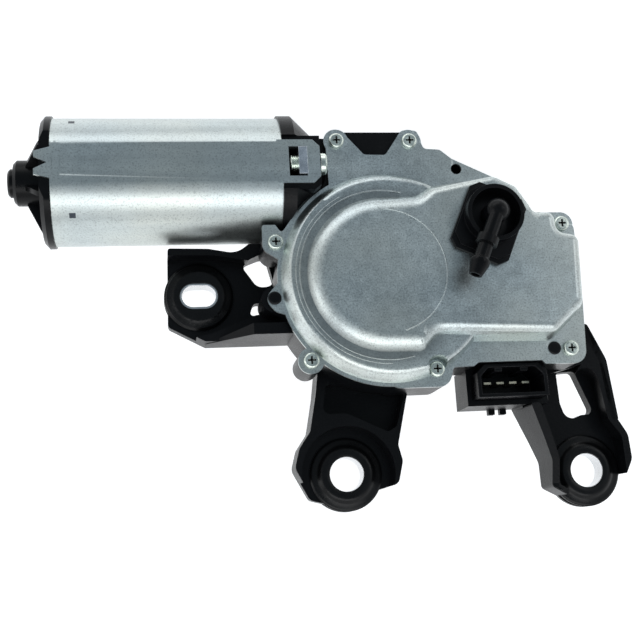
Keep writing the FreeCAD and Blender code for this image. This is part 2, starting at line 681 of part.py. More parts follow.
def connector_box(grow, low, high):
    """Outline of the connector shroud grown by a distance, with its two key chamfers."""
    half_x = SHROUD_LENGTH / 2 + grow
    half_y = SHROUD_WIDTH / 2 + grow
    cut = SHROUD_CHAMFER
    points = [(-half_x, -half_y), (half_x, -half_y), (half_x, half_y - cut), (half_x - cut, half_y),
              (cut - half_x, half_y), (-half_x, half_y - cut)]
    wire = Part.makePolygon([V(CONNECTOR_X + x, CONNECTOR_Y + y, low) for x, y in points + points[:1]])
    return Part.Face(wire).extrude(V(0, 0, high - low))


def make_gear_housing():
    """Die-cast housing: gear bowl, worm tunnel, neck, shaft tower, three arms and connector bay."""
    body = disc(BOWL_RADIUS, FLOOR_BOTTOM, SEAT_Z, BOWL_RIM_X, BOWL_RIM_Y)
    rim = plate_blank(SEAT_Z - 4, SEAT_Z, 0.3)
    right_low = RIGHT_FLOOR - RIGHT_FLOOR_THICK
    right = prism(COVER_EDGE, right_low, SEAT_Z - 2)
    blind = TUNNEL_END + END_BUSH_LENGTH
    tunnel = block(CAN_RIGHT + TUNNEL_START, blind + TUNNEL_END_WALL, MOTOR_Y - TUNNEL_HALF_WIDTH,
                   MOTOR_Y + TUNNEL_HALF_WIDTH, FLOOR_BOTTOM, SEAT_Z)
    back = block(BACK_LEFT, BACK_RIGHT, MOTOR_Y, MOTOR_Y + BACK_REACH, FLOOR_TOP, SEAT_Z)
    tower = Part.makeCone(TOWER_END_RADIUS, TOWER_RADIUS, RIGHT_FLOOR - TOWER_BOTTOM,
                          V(0, 0, TOWER_BOTTOM))
    body = body.fuse([rim, right, tunnel, back, tower])
    for x, y in COVER_SCREWS + PLUGS:
        body = body.fuse(disc(BOSS_RADIUS, BOSS_BOTTOM, SEAT_Z, x, y))
    bay = connector_box(BAY_WALL + SLIP_FIT, BAY_LOW, BAY_TOP)
    body = body.fuse([centre_arm(), right_arm(), left_arm(), bay])
    body = body.cut(rod_x(CAN_RADIUS + CAN_ROOM, CAN_LEFT, CAN_RIGHT + 0.1)).fuse(neck())
    body = body.cut(disc(BOWL_RIM_RADIUS + SOLID_GAP, SEAT_Z, PLATEAU_Z, BOWL_RIM_X, BOWL_RIM_Y))
    body = body.cut(bowl_space(FLOOR_TOP, SEAT_Z + 1))
    body = body.cut(prism(RIGHT_CAVITY, RIGHT_FLOOR, SEAT_Z + 1))
    boss = disc(SHAFT_BOSS_RADIUS, FLOOR_BOTTOM, SHAFT_BOSS_TOP)
    axle_boss = disc(AXLE_RADIUS + WALL, FLOOR_BOTTOM, WHEEL_LOW - SOLID_GAP, WHEEL_X, WHEEL_Y)
    body = body.fuse([boss, axle_boss])
    body = body.cut(disc(AXLE_RADIUS, FLOOR_TOP - 1, WHEEL_HIGH, WHEEL_X, WHEEL_Y))
    body = body.cut(disc(SHAFT_RADIUS + BUSH_WALL, TOWER_BOTTOM - 1, SEAT_Z + 1))
    body = body.cut(rod_x(TUNNEL_RADIUS, CAN_RIGHT - 9, TUNNEL_END))
    body = body.cut(rod_x(BEARING_RADIUS, CAN_RIGHT - 9, FRONT_BEARING_X + BEARING_LENGTH))
    body = body.cut(rod_x(END_BUSH_RADIUS, TUNNEL_END - 1, blind))
    body = body.cut(rod_x(CAN_RADIUS - CAN_WALL - WALL, CAN_RIGHT - 9, CAN_RIGHT + 2))
    body = body.cut(connector_box(SLIP_FIT, SHROUD_LOW, SEAT_Z + 9))
    for side in (-1, 1):
        z = MOTOR_Z + side * FIX_RISE
        half = NUT_HALF + SLIP_FIT
        pocket = block(NUT_RIGHT - NUT_THICK - NUT_ROOM, NUT_RIGHT + SLIP_FIT, MOTOR_Y - half, MOTOR_Y + half,
                       z - side * half, MOTOR_Z + side * NECK_RADIUS)
        hole = rod_x(FIX_SCREW_RADIUS + SLIP_FIT, NUT_RIGHT, LUG_RIGHT + 1, z=z)
        head_room = rod_x(FIX_HEAD_RADIUS + FIX_HEAD_ROOM, LUG_RIGHT, LUG_RIGHT + 2 * FIX_HEAD_THICK, z=z)
        body = body.cut([pocket, hole, head_room])
    for x, y in COVER_SCREWS:
        body = body.cut(disc(SCREW_RADIUS + RUN_FIT, COVER_TOP - SCREW_LENGTH - 1, SEAT_Z + 1, x, y))
    for x, y in PLUGS:
        body = body.cut(disc(PLUG_RADIUS + RUN_FIT, COVER_TOP - PLUG_LENGTH - 1, SEAT_Z + 1, x, y))
    body = body.cut(disc(COVER_HOLE_RADIUS, SEAT_Z - 8, SEAT_Z + 1, *COVER_HOLE))
    return solid_of(body)


def make_worm_wheel():
    """Plastic worm wheel with helical teeth, web, ribs and hub."""
    lead_angle = math.degrees(math.atan(MODULE / (2 * WORM_PITCH_RADIUS)))
    twist = math.degrees(WHEEL_FACE * math.tan(math.radians(lead_angle)) / WHEEL_PITCH_RADIUS)
    rows = tooth_outline(WHEEL_PITCH_RADIUS, ADDENDUM * MODULE, DEDENDUM * MODULE)
    root = rows[1][0]
    wheel = tube(root, root - WHEEL_RIM, WHEEL_LOW, WHEEL_HIGH)
    web = disc(root - 1, MOTOR_Z - WHEEL_WEB / 2, MOTOR_Z + WHEEL_WEB / 2)
    hub = disc(WHEEL_HUB_RADIUS, WHEEL_LOW, WHEEL_HIGH)
    parts = [web, hub]
    for i in range(WHEEL_RIBS):
        rib = block(0, root - 1, -WHEEL_RIB_WIDTH / 2, WHEEL_RIB_WIDTH / 2, WHEEL_LOW + 1, WHEEL_HIGH - 1)
        rib.rotate(V(0, 0, 0), V(0, 0, 1), i * 360 / WHEEL_RIBS)
        parts.append(rib)
    crank_boss = disc(CRANK_PIN_RADIUS + 2.4, MOTOR_Z, WHEEL_HIGH, CRANK_DX, CRANK_DY)
    parts.append(crank_boss)
    # At the worm, a gap between two teeth faces the thread at the worm's middle
    pitch_angle = 360 / WHEEL_TEETH
    parts.extend(tooth(rows, 90 + (i + 0.5) * pitch_angle, WHEEL_LOW, WHEEL_HIGH, twist)
                 for i in range(WHEEL_TEETH))
    wheel = wheel.fuse(parts)
    wheel = wheel.cut(disc(AXLE_RADIUS + RUN_FIT, WHEEL_LOW - 1, WHEEL_HIGH + 1))
    wheel = wheel.cut(disc(CRANK_PIN_RADIUS, MOTOR_Z - WHEEL_WEB / 2 + 1, WHEEL_HIGH + 1, CRANK_DX, CRANK_DY))
    return placed(solid_of(wheel), WHEEL_X, WHEEL_Y)


def make_wheel_axle():
    """Steel pin on which the worm wheel turns."""
    pin = disc(AXLE_RADIUS, FLOOR_TOP - 1, WHEEL_HIGH + 2.2, WHEEL_X, WHEEL_Y)
    return pin.makeChamfer(0.6, top_edges(pin, WHEEL_HIGH + 2.2))


def make_axle_clip():
    """Retaining washer on the wheel axle."""
    return tube(AXLE_RADIUS + CLIP_OVERLAP, AXLE_RADIUS, WHEEL_HIGH + SOLID_GAP, WHEEL_HIGH + 1.3,
                WHEEL_X, WHEEL_Y)


def make_crank_pin():
    """Steel crank pin pressed into the wheel; its top stops just below the rod."""
    low = MOTOR_Z - WHEEL_WEB / 2 + 1
    pin = disc(CRANK_PIN_RADIUS, low, ROD_LOW - SOLID_GAP, CRANK_X, CRANK_Y)
    return pin.makeChamfer(0.4, top_edges(pin, ROD_LOW - SOLID_GAP))


def thread_section(angle, x, root, tip):
    """Section through the worm thread in a plane that holds the motor axis."""
    slope = math.tan(math.radians(PRESSURE_ANGLE))
    inner = root - TOOTH_ROOT_SINK
    foot = WORM_THREAD_HALF + (WORM_PITCH_RADIUS - inner) * slope
    crest = WORM_THREAD_HALF + (WORM_PITCH_RADIUS - tip) * slope
    along = math.cos(math.radians(angle))
    across = math.sin(math.radians(angle))
    corners = [(x - foot, inner), (x - crest, tip), (x + crest, tip), (x + foot, inner)]
    points = [V(px, MOTOR_Y + r * along, MOTOR_Z + r * across) for px, r in corners]
    return Part.makePolygon(points + points[:1])


def make_armature_shaft():
    """Armature shaft with the worm cut into it."""
    worm_left = WHEEL_X - WORM_LENGTH / 2
    worm_root = WORM_PITCH_RADIUS - DEDENDUM * MODULE
    tip = WORM_PITCH_RADIUS + ADDENDUM * MODULE
    right = TUNNEL_END - SOLID_GAP
    shaft = turned_x([(ARM_REAR, 0), (ARM_REAR, SHAFT_ARM_RADIUS), (worm_left - 3, SHAFT_ARM_RADIUS),
                      (worm_left - 1, worm_root), (worm_left + WORM_LENGTH + 1, worm_root),
                      (right, worm_root), (right, ARM_END_RADIUS),
                      (TUNNEL_END + END_BUSH_LENGTH - THRUST_THICK, ARM_END_RADIUS),
                      (TUNNEL_END + END_BUSH_LENGTH - THRUST_THICK, 0)])
    lead = math.pi * MODULE
    half_steps = int(WORM_LENGTH / lead * WORM_STEPS / 2)
    sections = [thread_section(180 + i * 360 / WORM_STEPS, WHEEL_X + i * lead / WORM_STEPS, worm_root, tip)
                for i in range(-half_steps, half_steps + 1)]
    return solid_of(shaft.fuse(Part.makeLoft(sections, True, True)))


def make_armature_core():
    """Slotted lamination stack."""
    core = rod_x(CORE_RADIUS, CORE_START, CORE_START + CORE_LENGTH)
    for i in range(CORE_SLOTS):
        angle = i * 360 / CORE_SLOTS
        slot = block(CORE_START - 1, CORE_START + CORE_LENGTH + 1, -CORE_SLOT_WIDTH / 2, CORE_SLOT_WIDTH / 2,
                     CORE_RADIUS - CORE_SLOT_DEPTH, CORE_RADIUS + 1)
        slot.rotate(V(0, 0, 0), V(1, 0, 0), angle)
        slot.translate(V(0, MOTOR_Y, MOTOR_Z))
        core = core.cut(slot)
    return solid_of(core.cut(rod_x(SHAFT_ARM_RADIUS, CORE_START - 1, CORE_START + CORE_LENGTH + 1)))


def make_armature_windings():
    """Copper end turns on both sides of the core."""
    ends = []
    for start, stop in ((CORE_START - WINDING_LENGTH, CORE_START),
                        (CORE_START + CORE_LENGTH, CORE_START + CORE_LENGTH + WINDING_LENGTH)):
        ring = tube_x(WINDING_RADIUS, SHAFT_ARM_RADIUS + 1, start, stop)
        edges = [e for e in ring.Edges if e.BoundBox.DiagonalLength > 2.5 * WINDING_RADIUS
                 and e.BoundBox.XLength < 0.01]
        ends.append(ring.makeFillet(2.4, edges))
    return group(ends)


def make_commutator():
    """Copper commutator with gaps between its bars."""
    stop = COMMUTATOR_START + COMMUTATOR_LENGTH
    body = tube_x(COMMUTATOR_RADIUS, SHAFT_ARM_RADIUS, COMMUTATOR_START, stop)
    for i in range(COMMUTATOR_BARS):
        gap = block(COMMUTATOR_START - 1, stop + 1, -BAR_GAP / 2, BAR_GAP / 2,
                    COMMUTATOR_RADIUS - BAR_DEPTH, COMMUTATOR_RADIUS + 1)
        gap.rotate(V(0, 0, 0), V(1, 0, 0), (i + 0.5) * 360 / COMMUTATOR_BARS)
        gap.translate(V(0, MOTOR_Y, MOTOR_Z))
        body = body.cut(gap)
    return solid_of(body)


def make_field_magnets():
    """Two ferrite arcs glued inside the can."""
    outer = CAN_RADIUS - CAN_WALL - SLIP_FIT
    start = CORE_START - (MAGNET_LENGTH - CORE_LENGTH) / 2
    magnets = []
    for centre in (0, 180):
        arc = Part.makeCylinder(outer, MAGNET_LENGTH, V(0, 0, 0), V(0, 0, 1), MAGNET_ANGLE)
        arc = arc.cut(Part.makeCylinder(outer - MAGNET_THICK, MAGNET_LENGTH + 2, V(0, 0, -1)))
        arc.rotate(V(0, 0, 0), V(0, 0, 1), centre - MAGNET_ANGLE / 2)
        arc.rotate(V(0, 0, 0), V(0, 1, 0), 90)
        arc.rotate(V(0, 0, 0), V(1, 0, 0), 90)
        arc.translate(V(start, MOTOR_Y, MOTOR_Z))
        flat = CAN_FLAT - CAN_WALL - SLIP_FIT
        keep = block(start - 1, start + MAGNET_LENGTH + 1, MOTOR_Y - 30, MOTOR_Y + 30,
                     MOTOR_Z - flat, MOTOR_Z + flat)
        magnets.append(solid_of(arc.common(keep)))
    return group(magnets)


def can_profile(radius, flat, left, right):
    """Round bar with two flats, along the motor axis."""
    bar = rod_x(radius, left, right)
    keep = block(left - 1, right + 1, MOTOR_Y - 40, MOTOR_Y + 40, MOTOR_Z - flat, MOTOR_Z + flat)
    return bar.common(keep)


def make_motor_can():
    """Drawn steel can, round with two flats, beaded at the rear, with fixing tabs on the flats."""
    body = can_profile(CAN_RADIUS, CAN_FLAT, CAN_LEFT, CAN_RIGHT)
    bead = Part.makeTorus(CAN_RADIUS - CAN_BEAD, CAN_BEAD * 2, V(CAN_LEFT + CAN_BEAD * 3, MOTOR_Y, MOTOR_Z),
                          V(1, 0, 0))
    body = body.fuse(bead.common(can_profile(CAN_RADIUS * 2, CAN_FLAT + CAN_BEAD, CAN_LEFT, CAN_RIGHT)))
    for side in (-1, 1):
        outer = MOTOR_Z + side * CAN_FLAT
        inner = outer - side * TAB_THICK
        lift = V(0, 0, inner - outer)
        cut = TAB_CHAMFER
        end = CAN_RIGHT + TAB_LENGTH
        points = [(CAN_RIGHT - 2, -TAB_HALF), (end - cut, -TAB_HALF), (end, cut - TAB_HALF),
                  (end, TAB_HALF - cut), (end - cut, TAB_HALF), (CAN_RIGHT - 2, TAB_HALF)]
        wire = Part.makePolygon([V(x, MOTOR_Y + y, outer) for x, y in points + points[:1]])
        tab = Part.Face(wire).extrude(lift)
        window = block(CAN_RIGHT + TAB_WINDOW_START, NUT_RIGHT, MOTOR_Y - TAB_WINDOW_HALF,
                       MOTOR_Y + TAB_WINDOW_HALF, MOTOR_Z, outer + side)
        far = CAN_LEFT - REAR_TAB_LENGTH
        tip = REAR_TAB_HALF - REAR_TAB_TAPER
        rear = [(CAN_LEFT + 2, -REAR_TAB_HALF), (CAN_LEFT + 2, REAR_TAB_HALF), (far, tip),
                (far, REAR_TAB_NOTCH / 2), (far + REAR_TAB_NOTCH, 0), (far, -REAR_TAB_NOTCH / 2), (far, -tip)]
        wire = Part.makePolygon([V(x, MOTOR_Y + y, outer) for x, y in rear + rear[:1]])
        rear_tab = Part.Face(wire).extrude(lift)
        body = body.fuse([tab.cut(window), rear_tab])
    hollow = can_profile(CAN_RADIUS - CAN_WALL, CAN_FLAT - CAN_WALL, CAN_LEFT - 9, CAN_RIGHT + TAB_LENGTH)
    return solid_of(body.cut(hollow))


def make_end_cap():
    """Plastic cap that closes the rear of the can and carries the rear bearing."""
    left = CAN_LEFT - CAP_THICK
    cap = rod_x(CAP_RADIUS, left, CAN_LEFT)
    cap = cap.makeChamfer(1.2, [e for e in cap.Edges if abs(e.BoundBox.XMax - left) < 0.01])
    cap = cap.fuse(rod_x(CAP_BOSS_RADIUS, CAP_END + 2, left))
    spigot = can_profile(CAN_RADIUS - CAN_WALL - SLIP_FIT, CAN_FLAT - CAN_WALL - SLIP_FIT,
                         CAN_LEFT, CAN_LEFT + CAP_SPIGOT)
    block_end = block(CAP_END, left - 2, MOTOR_Y - CAP_BLOCK_HALF - 1.4, MOTOR_Y + CAP_BLOCK_HALF - 2.2,
                      MOTOR_Z - CAP_BLOCK_HALF, MOTOR_Z + CAP_BLOCK_HALF)
    cap = cap.fuse([spigot, block_end])
    for i in range(CAP_RIBS):
        foot = CAP_RADIUS - 5
        rib = Part.Face(Part.makePolygon([V(left, CAP_BOSS_RADIUS - 1, 0), V(left, foot, 0),
                                          V(left - 4, CAP_BOSS_RADIUS + 4, 0),
                                          V(left - 6, CAP_BOSS_RADIUS - 1, 0),
                                          V(left, CAP_BOSS_RADIUS - 1, 0)]))
        rib = rib.extrude(V(0, 0, CAP_RIB_THICK))
        rib.translate(V(0, 0, -CAP_RIB_THICK / 2))
        rib.rotate(V(0, 0, 0), V(1, 0, 0), 30 + i * 360 / CAP_RIBS)
        rib.translate(V(0, MOTOR_Y, MOTOR_Z))
        cap = cap.fuse(rib)
    cap = cap.cut(rod_x(CAN_RADIUS - CAN_WALL - SLIP_FIT - 2, CAN_LEFT - 0.5, CAN_LEFT + 9))
    cap = cap.cut(rod_x(REAR_BEARING_RADIUS, ARM_REAR - SOLID_GAP, CAN_LEFT + 9))
    for side in (-1, 1):
        slot = block(left - 3, CAN_LEFT, MOTOR_Y - REAR_TAB_HALF - SOLID_GAP, MOTOR_Y + REAR_TAB_HALF + SOLID_GAP,
                     MOTOR_Z + side * (CAN_FLAT - TAB_THICK - SLIP_FIT), MOTOR_Z + side * CAP_RADIUS)
        cap = cap.cut(slot)
    return solid_of(cap)


def make_rear_bearing():
    """Sintered bush in the end cap."""
    return tube_x(REAR_BEARING_RADIUS, SHAFT_ARM_RADIUS + RUN_FIT, ARM_REAR, ARM_REAR + BEARING_LENGTH)


def make_front_bearing():
    """Bearing at the mouth of the worm tunnel."""
    return tube_x(BEARING_RADIUS, SHAFT_ARM_RADIUS + RUN_FIT, FRONT_BEARING_X,
                  FRONT_BEARING_X + BEARING_LENGTH)


def make_end_bush():
    """Small bush at the blind end of the worm tunnel."""
    return tube_x(END_BUSH_RADIUS, ARM_END_RADIUS + RUN_FIT, TUNNEL_END,
                  TUNNEL_END + END_BUSH_LENGTH - THRUST_THICK - SOLID_GAP)


def make_thrust_pad():
    """Hard pad that takes the thrust of the worm."""
    stop = TUNNEL_END + END_BUSH_LENGTH
    return rod_x(END_BUSH_RADIUS, stop - THRUST_THICK + SOLID_GAP / 3, stop)


def make_brush_holder():
    """Round plastic plate that carries the brushes at the mouth of the can."""
    plate = can_profile(CAN_RADIUS - CAN_WALL - SLIP_FIT, CAN_FLAT - CAN_WALL - SLIP_FIT,
                        PLATE_LEFT, PLATE_LEFT + PLATE_THICK)
    plate = plate.cut(rod_x(COMMUTATOR_RADIUS + BRUSH_BOX_GAP, PLATE_LEFT - 1, PLATE_LEFT + PLATE_THICK + 1))
    half = BRUSH_WIDTH / 2 + SLIP_FIT
    for side in (-1, 1):
        inner = MOTOR_Y + side * (COMMUTATOR_RADIUS + BRUSH_BOX_GAP)
        outer = MOTOR_Y + side * BRUSH_BOX_REACH
        box = block(PLATE_LEFT - BRUSH_THICK - BRUSH_BOX_WALL, PLATE_LEFT, inner, outer + side * BRUSH_BOX_WALL,
                    MOTOR_Z - half - BRUSH_BOX_WALL, MOTOR_Z + half + BRUSH_BOX_WALL)
        hole = block(PLATE_LEFT - BRUSH_THICK, PLATE_LEFT, inner - side, outer, MOTOR_Z - half, MOTOR_Z + half)
        plate = plate.fuse(box).cut(hole)
    return solid_of(plate)


def make_brushes():
    """Two carbon brushes that ride on the commutator."""
    brushes = []
    for side in (-1, 1):
        inner = MOTOR_Y + side * (COMMUTATOR_RADIUS + RUN_FIT)
        brushes.append(block(PLATE_LEFT - BRUSH_THICK + SLIP_FIT, PLATE_LEFT - SLIP_FIT,
                             inner, inner + side * BRUSH_LENGTH,
                             MOTOR_Z - BRUSH_WIDTH / 2, MOTOR_Z + BRUSH_WIDTH / 2))
    return group(brushes)


def make_brush_springs():
    """Coil springs behind the brushes, as their closed envelopes."""
    springs = []
    for side in (-1, 1):
        inner = COMMUTATOR_RADIUS + RUN_FIT + BRUSH_LENGTH
        springs.append(Part.makeCylinder(SPRING_RADIUS, BRUSH_BOX_REACH - inner,
                                         V(PLATE_LEFT - BRUSH_THICK / 2, MOTOR_Y + side * inner, MOTOR_Z),
                                         V(0, side, 0)))
    return group(springs)


def make_drive_rod():
    """Connecting rod: an eye over the crank pin and a toothed sector about the sector pin."""
    length = math.hypot(CRANK_X - SECTOR_X, CRANK_Y - SECTOR_Y)
    direction = math.degrees(math.atan2(CRANK_Y - SECTOR_Y, CRANK_X - SECTOR_X))
    high = ROD_LOW + ROD_THICK
    rows = tooth_outline(SECTOR_PITCH_RADIUS, STUB_ADDENDUM * MODULE, STUB_DEDENDUM * MODULE)
    root = rows[1][0]
    towards_pinion = LINK_ANGLE + 180
    tooth_angle = math.degrees(MODULE * math.pi / SECTOR_PITCH_RADIUS)
    span = tooth_angle * (SECTOR_TEETH / 2 + 0.2)
    wedge = Part.makeCylinder(root, ROD_THICK, V(0, 0, ROD_LOW), V(0, 0, 1), 2 * span)
    wedge.rotate(V(0, 0, 0), V(0, 0, 1), towards_pinion - span)
    pieces = [disc(SECTOR_PIN_RADIUS + 3.2, ROD_LOW, high)]
    half = SECTOR_TEETH // 2
    pieces.extend(tooth(rows, towards_pinion + i * tooth_angle, ROD_LOW, high) for i in range(-half, half + 1))
    beam = block(0, length, -ROD_HALF_WIDTH, ROD_HALF_WIDTH, ROD_LOW, high)
    waist = block(9, length - 9, -ROD_HALF_WIDTH + 1.4, ROD_HALF_WIDTH - 1.4, ROD_LOW + 1.4, high + 1)
    beam = beam.cut(waist)
    beam.rotate(V(0, 0, 0), V(0, 0, 1), direction)
    x, y = polar(length, direction)
    pieces.extend([beam, disc(ROD_EYE_RADIUS, ROD_LOW, high, x, y)])
    rod = wedge.fuse(pieces)
    rod = rod.cut(disc(CRANK_PIN_RADIUS + 0.1, ROD_LOW - 1, high + 1, x, y))
    rod = rod.cut(disc(SECTOR_PIN_RADIUS + RUN_FIT, ROD_LOW - 1, high + 1))
    return placed(solid_of(rod), SECTOR_X, SECTOR_Y)


def make_link_plate():
    """Link that holds sector pin and output shaft at the meshing distance."""
    low = ROD_LOW + ROD_THICK + SOLID_GAP
    high = low + LINK_THICK
    plate = block(0, LINK_CENTRES, -LINK_HALF_WIDTH, LINK_HALF_WIDTH, low, high)
    plate = plate.fuse([disc(LINK_HALF_WIDTH + 1.5, low, high), disc(LINK_HALF_WIDTH, low, high, LINK_CENTRES, 0)])
    plate = plate.cut(disc(SHAFT_TOP_RADIUS + RUN_FIT, low - 1, high + 1))
    plate = plate.cut(disc(SECTOR_PIN_RADIUS, low - 1, high + 1, LINK_CENTRES, 0))
    return placed(solid_of(plate), 0, 0, LINK_ANGLE)


def make_sector_pin():
    """Rivet that joins rod and link plate."""
    top = ROD_LOW + ROD_THICK + SOLID_GAP + LINK_THICK
    pin = disc(SECTOR_PIN_RADIUS, ROD_LOW - SOLID_GAP, top + 1.2, SECTOR_X, SECTOR_Y)
    foot = disc(SECTOR_PIN_RADIUS + 1.6, ROD_LOW - SOLID_GAP - 0.8, ROD_LOW - SOLID_GAP, SECTOR_X, SECTOR_Y)
    head = disc(SECTOR_PIN_RADIUS + 1.2, top, top + 1.2, SECTOR_X, SECTOR_Y)
    return solid_of(pin.fuse([head, foot]))


def make_output_pinion():
    """Pinion fixed on the output shaft; a gap faces the middle tooth of the sector."""
    rows = tooth_outline(PINION_PITCH_RADIUS, STUB_ADDENDUM * MODULE, STUB_DEDENDUM * MODULE)
    root = rows[1][0]
    low = ROD_LOW - SOLID_GAP
    high = ROD_LOW + ROD_THICK
    pitch_angle = 360 / PINION_TEETH
    teeth = [tooth(rows, LINK_ANGLE + (i + 0.5) * pitch_angle, low, high) for i in range(PINION_TEETH)]
    pinion = disc(root, low, high).fuse(teeth)
    return solid_of(pinion.cut(disc(SHAFT_TOP_RADIUS, low - 1, high + 1)))


def make_output_shaft():
    """Hollow output shaft with a fluted cone and a stud for the wiper arm."""
    cone_end = CONE_TOP - CONE_LENGTH
    stud_end = cone_end - STUD_LENGTH
    shoulder = ROD_LOW - SOLID_GAP
    collar = SHAFT_BOSS_TOP + RUN_FIT
    shaft = turned([(0, stud_end), (STUD_RADIUS - 0.8, stud_end), (STUD_RADIUS, stud_end + 0.8),
                    (STUD_RADIUS, cone_end), (CONE_END_RADIUS, cone_end), (SHAFT_RADIUS, CONE_TOP),
                    (SHAFT_RADIUS, collar), (SHAFT_COLLAR_RADIUS, collar),
                    (SHAFT_COLLAR_RADIUS, shoulder), (SHAFT_TOP_RADIUS, shoulder),
                    (SHAFT_TOP_RADIUS, SHAFT_TOP), (0, SHAFT_TOP)])
    shaft = shaft.cut(disc(SHAFT_BORE, stud_end - 1, SHAFT_TOP + 1))
    return solid_of(shaft)


def make_shaft_bushes():
    """Two sintered bushes in the tower."""
    bushes = []
    for low in (TOWER_BOTTOM + 1, SHAFT_BOSS_TOP - WASHER_THICK - BUSH_LENGTH):
        bushes.append(tube(SHAFT_RADIUS + BUSH_WALL, SHAFT_RADIUS + RUN_FIT, low, low + BUSH_LENGTH))
    return group(bushes)


def make_thrust_washer():
    """Washer between the upper bush and the collar of the shaft."""
    return tube(SHAFT_RADIUS + BUSH_WALL - SLIP_FIT, SHAFT_RADIUS + RUN_FIT,
                SHAFT_BOSS_TOP - WASHER_THICK, SHAFT_BOSS_TOP)


def make_shaft_clip():
    """Clip that keeps the link plate on the shaft."""
    low = ROD_LOW + ROD_THICK + SOLID_GAP + LINK_THICK + SOLID_GAP
    ring = tube(CLIP_RADIUS, SHAFT_TOP_RADIUS, low, low + CLIP_THICK)
    return solid_of(ring.cut(block(0, CLIP_RADIUS + 1, -2, 2, low - 1, low + 3)))


def make_shaft_circlip():
    """Circlip below the tower that holds the shaft down."""
    high = TOWER_BOTTOM - SOLID_GAP
    return tube(SHAFT_RADIUS + 2.6, SHAFT_RADIUS, high - CLIP_THICK, high)


def make_tower_seal():
    """Rubber ring round the end of the tower, against the body panel."""
    slope = (TOWER_RADIUS - TOWER_END_RADIUS) / (RIGHT_FLOOR - TOWER_BOTTOM)
    low = TOWER_BOTTOM + 4
    high = low + SEAL_LENGTH
    r0 = TOWER_END_RADIUS + slope * (low - TOWER_BOTTOM)
    r1 = TOWER_END_RADIUS + slope * (high - TOWER_BOTTOM)
    ribs = [(r0, low), (r0 + SEAL_WALL, low), (r0 + SEAL_WALL, low + 3), (r0 + SEAL_WALL + 2, low + 4.5),
            (r0 + SEAL_WALL, low + 6), (r0 + SEAL_WALL, low + 8), (r0 + SEAL_WALL + 3, low + 10),
            (r1 + SEAL_WALL, high), (r1, high)]
    return turned(ribs)


def make_connector_shroud():
    """Plastic socket for the four contacts, open upwards, with two key ribs."""
    shell = connector_box(0, SHROUD_LOW, SHROUD_TOP)
    shell = shell.cut(connector_box(-SHROUD_WALL, SHROUD_FLOOR, SHROUD_TOP + 1))
    wall_y = CONNECTOR_Y + SHROUD_WIDTH / 2 - SHROUD_WALL
    for side in (-1, 1):
        x = CONNECTOR_X + side * KEY_OFFSET
        key = block(x - KEY_WIDTH / 2, x + KEY_WIDTH / 2, wall_y - KEY_DEPTH, wall_y + 0.5,
                    SHROUD_FLOOR - 1, SHROUD_TOP - 1)
        shell = shell.fuse(key)
    for x in pin_places():
        shell = shell.cut(pin_blade(x, 0))
    return solid_of(shell)


def pin_places():
    """X of each contact."""
    first = CONNECTOR_X - PIN_PITCH * (PIN_COUNT - 1) / 2
    return [first + i * PIN_PITCH for i in range(PIN_COUNT)]


def pin_blade(x, grow):
    """Flat contact blade standing in the socket."""
    half = PIN_WIDTH / 2 + grow
    return block(x - half, x + half, CONNECTOR_Y - PIN_THICK / 2 - grow, CONNECTOR_Y + PIN_THICK / 2 + grow,
                 SHROUD_LOW + 0.8, PIN_TOP)


def make_connector_pins():
    """Four flat contacts."""
    return group([pin_blade(x, 0) for x in pin_places()])


def make_contact_plate():
    """Printed board on the floor beside the wheel, that feeds brushes and park switch."""
    low = RIGHT_FLOOR
    plate = prism([(14.5, -40.0, 2.0), (28.6, -30.4, 2.0), (29.0, -10.6, 2.0), (14.5, -10.6, 2.0)],
                  low, low + CONTACT_PLATE_THICK)
    return plate


def make_inlet_flange():
    """Washer inlet body: chamfered plate, cup and spigot."""
    cut = INLET_CORNER
    half = INLET_WIDTH / 2
    x0 = INLET_SHIFT - INLET_LENGTH / 2
    x1 = INLET_SHIFT + INLET_LENGTH / 2
    points = [(x0 + cut, -half), (x1 - cut, -half), (x1, cut - half), (x1, half - cut),
              (x1 - cut, half), (x0 + cut, half), (x0, half - cut), (x0, cut - half)]
    high = PLATEAU_Z + INLET_THICK
    wire = Part.makePolygon([V(x, y, PLATEAU_Z) for x, y in points + points[:1]])
    plate = Part.Face(wire).extrude(V(0, 0, INLET_THICK))
    cup = tube(CUP_RADIUS, CUP_RADIUS - CUP_WALL, high - 0.5, high + CUP_HEIGHT)
    spigot = disc(SPIGOT_RADIUS, PLATEAU_Z - SPIGOT_LENGTH, PLATEAU_Z)
    shape = plate.fuse([cup, spigot])
    shape = shape.cut(disc(CUP_RADIUS - CUP_WALL, high - 1.6, high + 9))
    shape = shape.cut(disc(ELBOW_RADIUS + 0.05, PLATEAU_Z - SPIGOT_LENGTH - 1, high + 1))
    # Way out for the elbow through the cup wall
    gap = block(0, CUP_RADIUS + 1, -ELBOW_RADIUS - SOLID_GAP, ELBOW_RADIUS + SOLID_GAP,
                high + ELBOW_RISE - ELBOW_RADIUS - SOLID_GAP - 3.6, high + CUP_HEIGHT + 1)
    shape = shape.cut(gap)
    return placed(solid_of(shape), 0, 0, INLET_ANGLE)


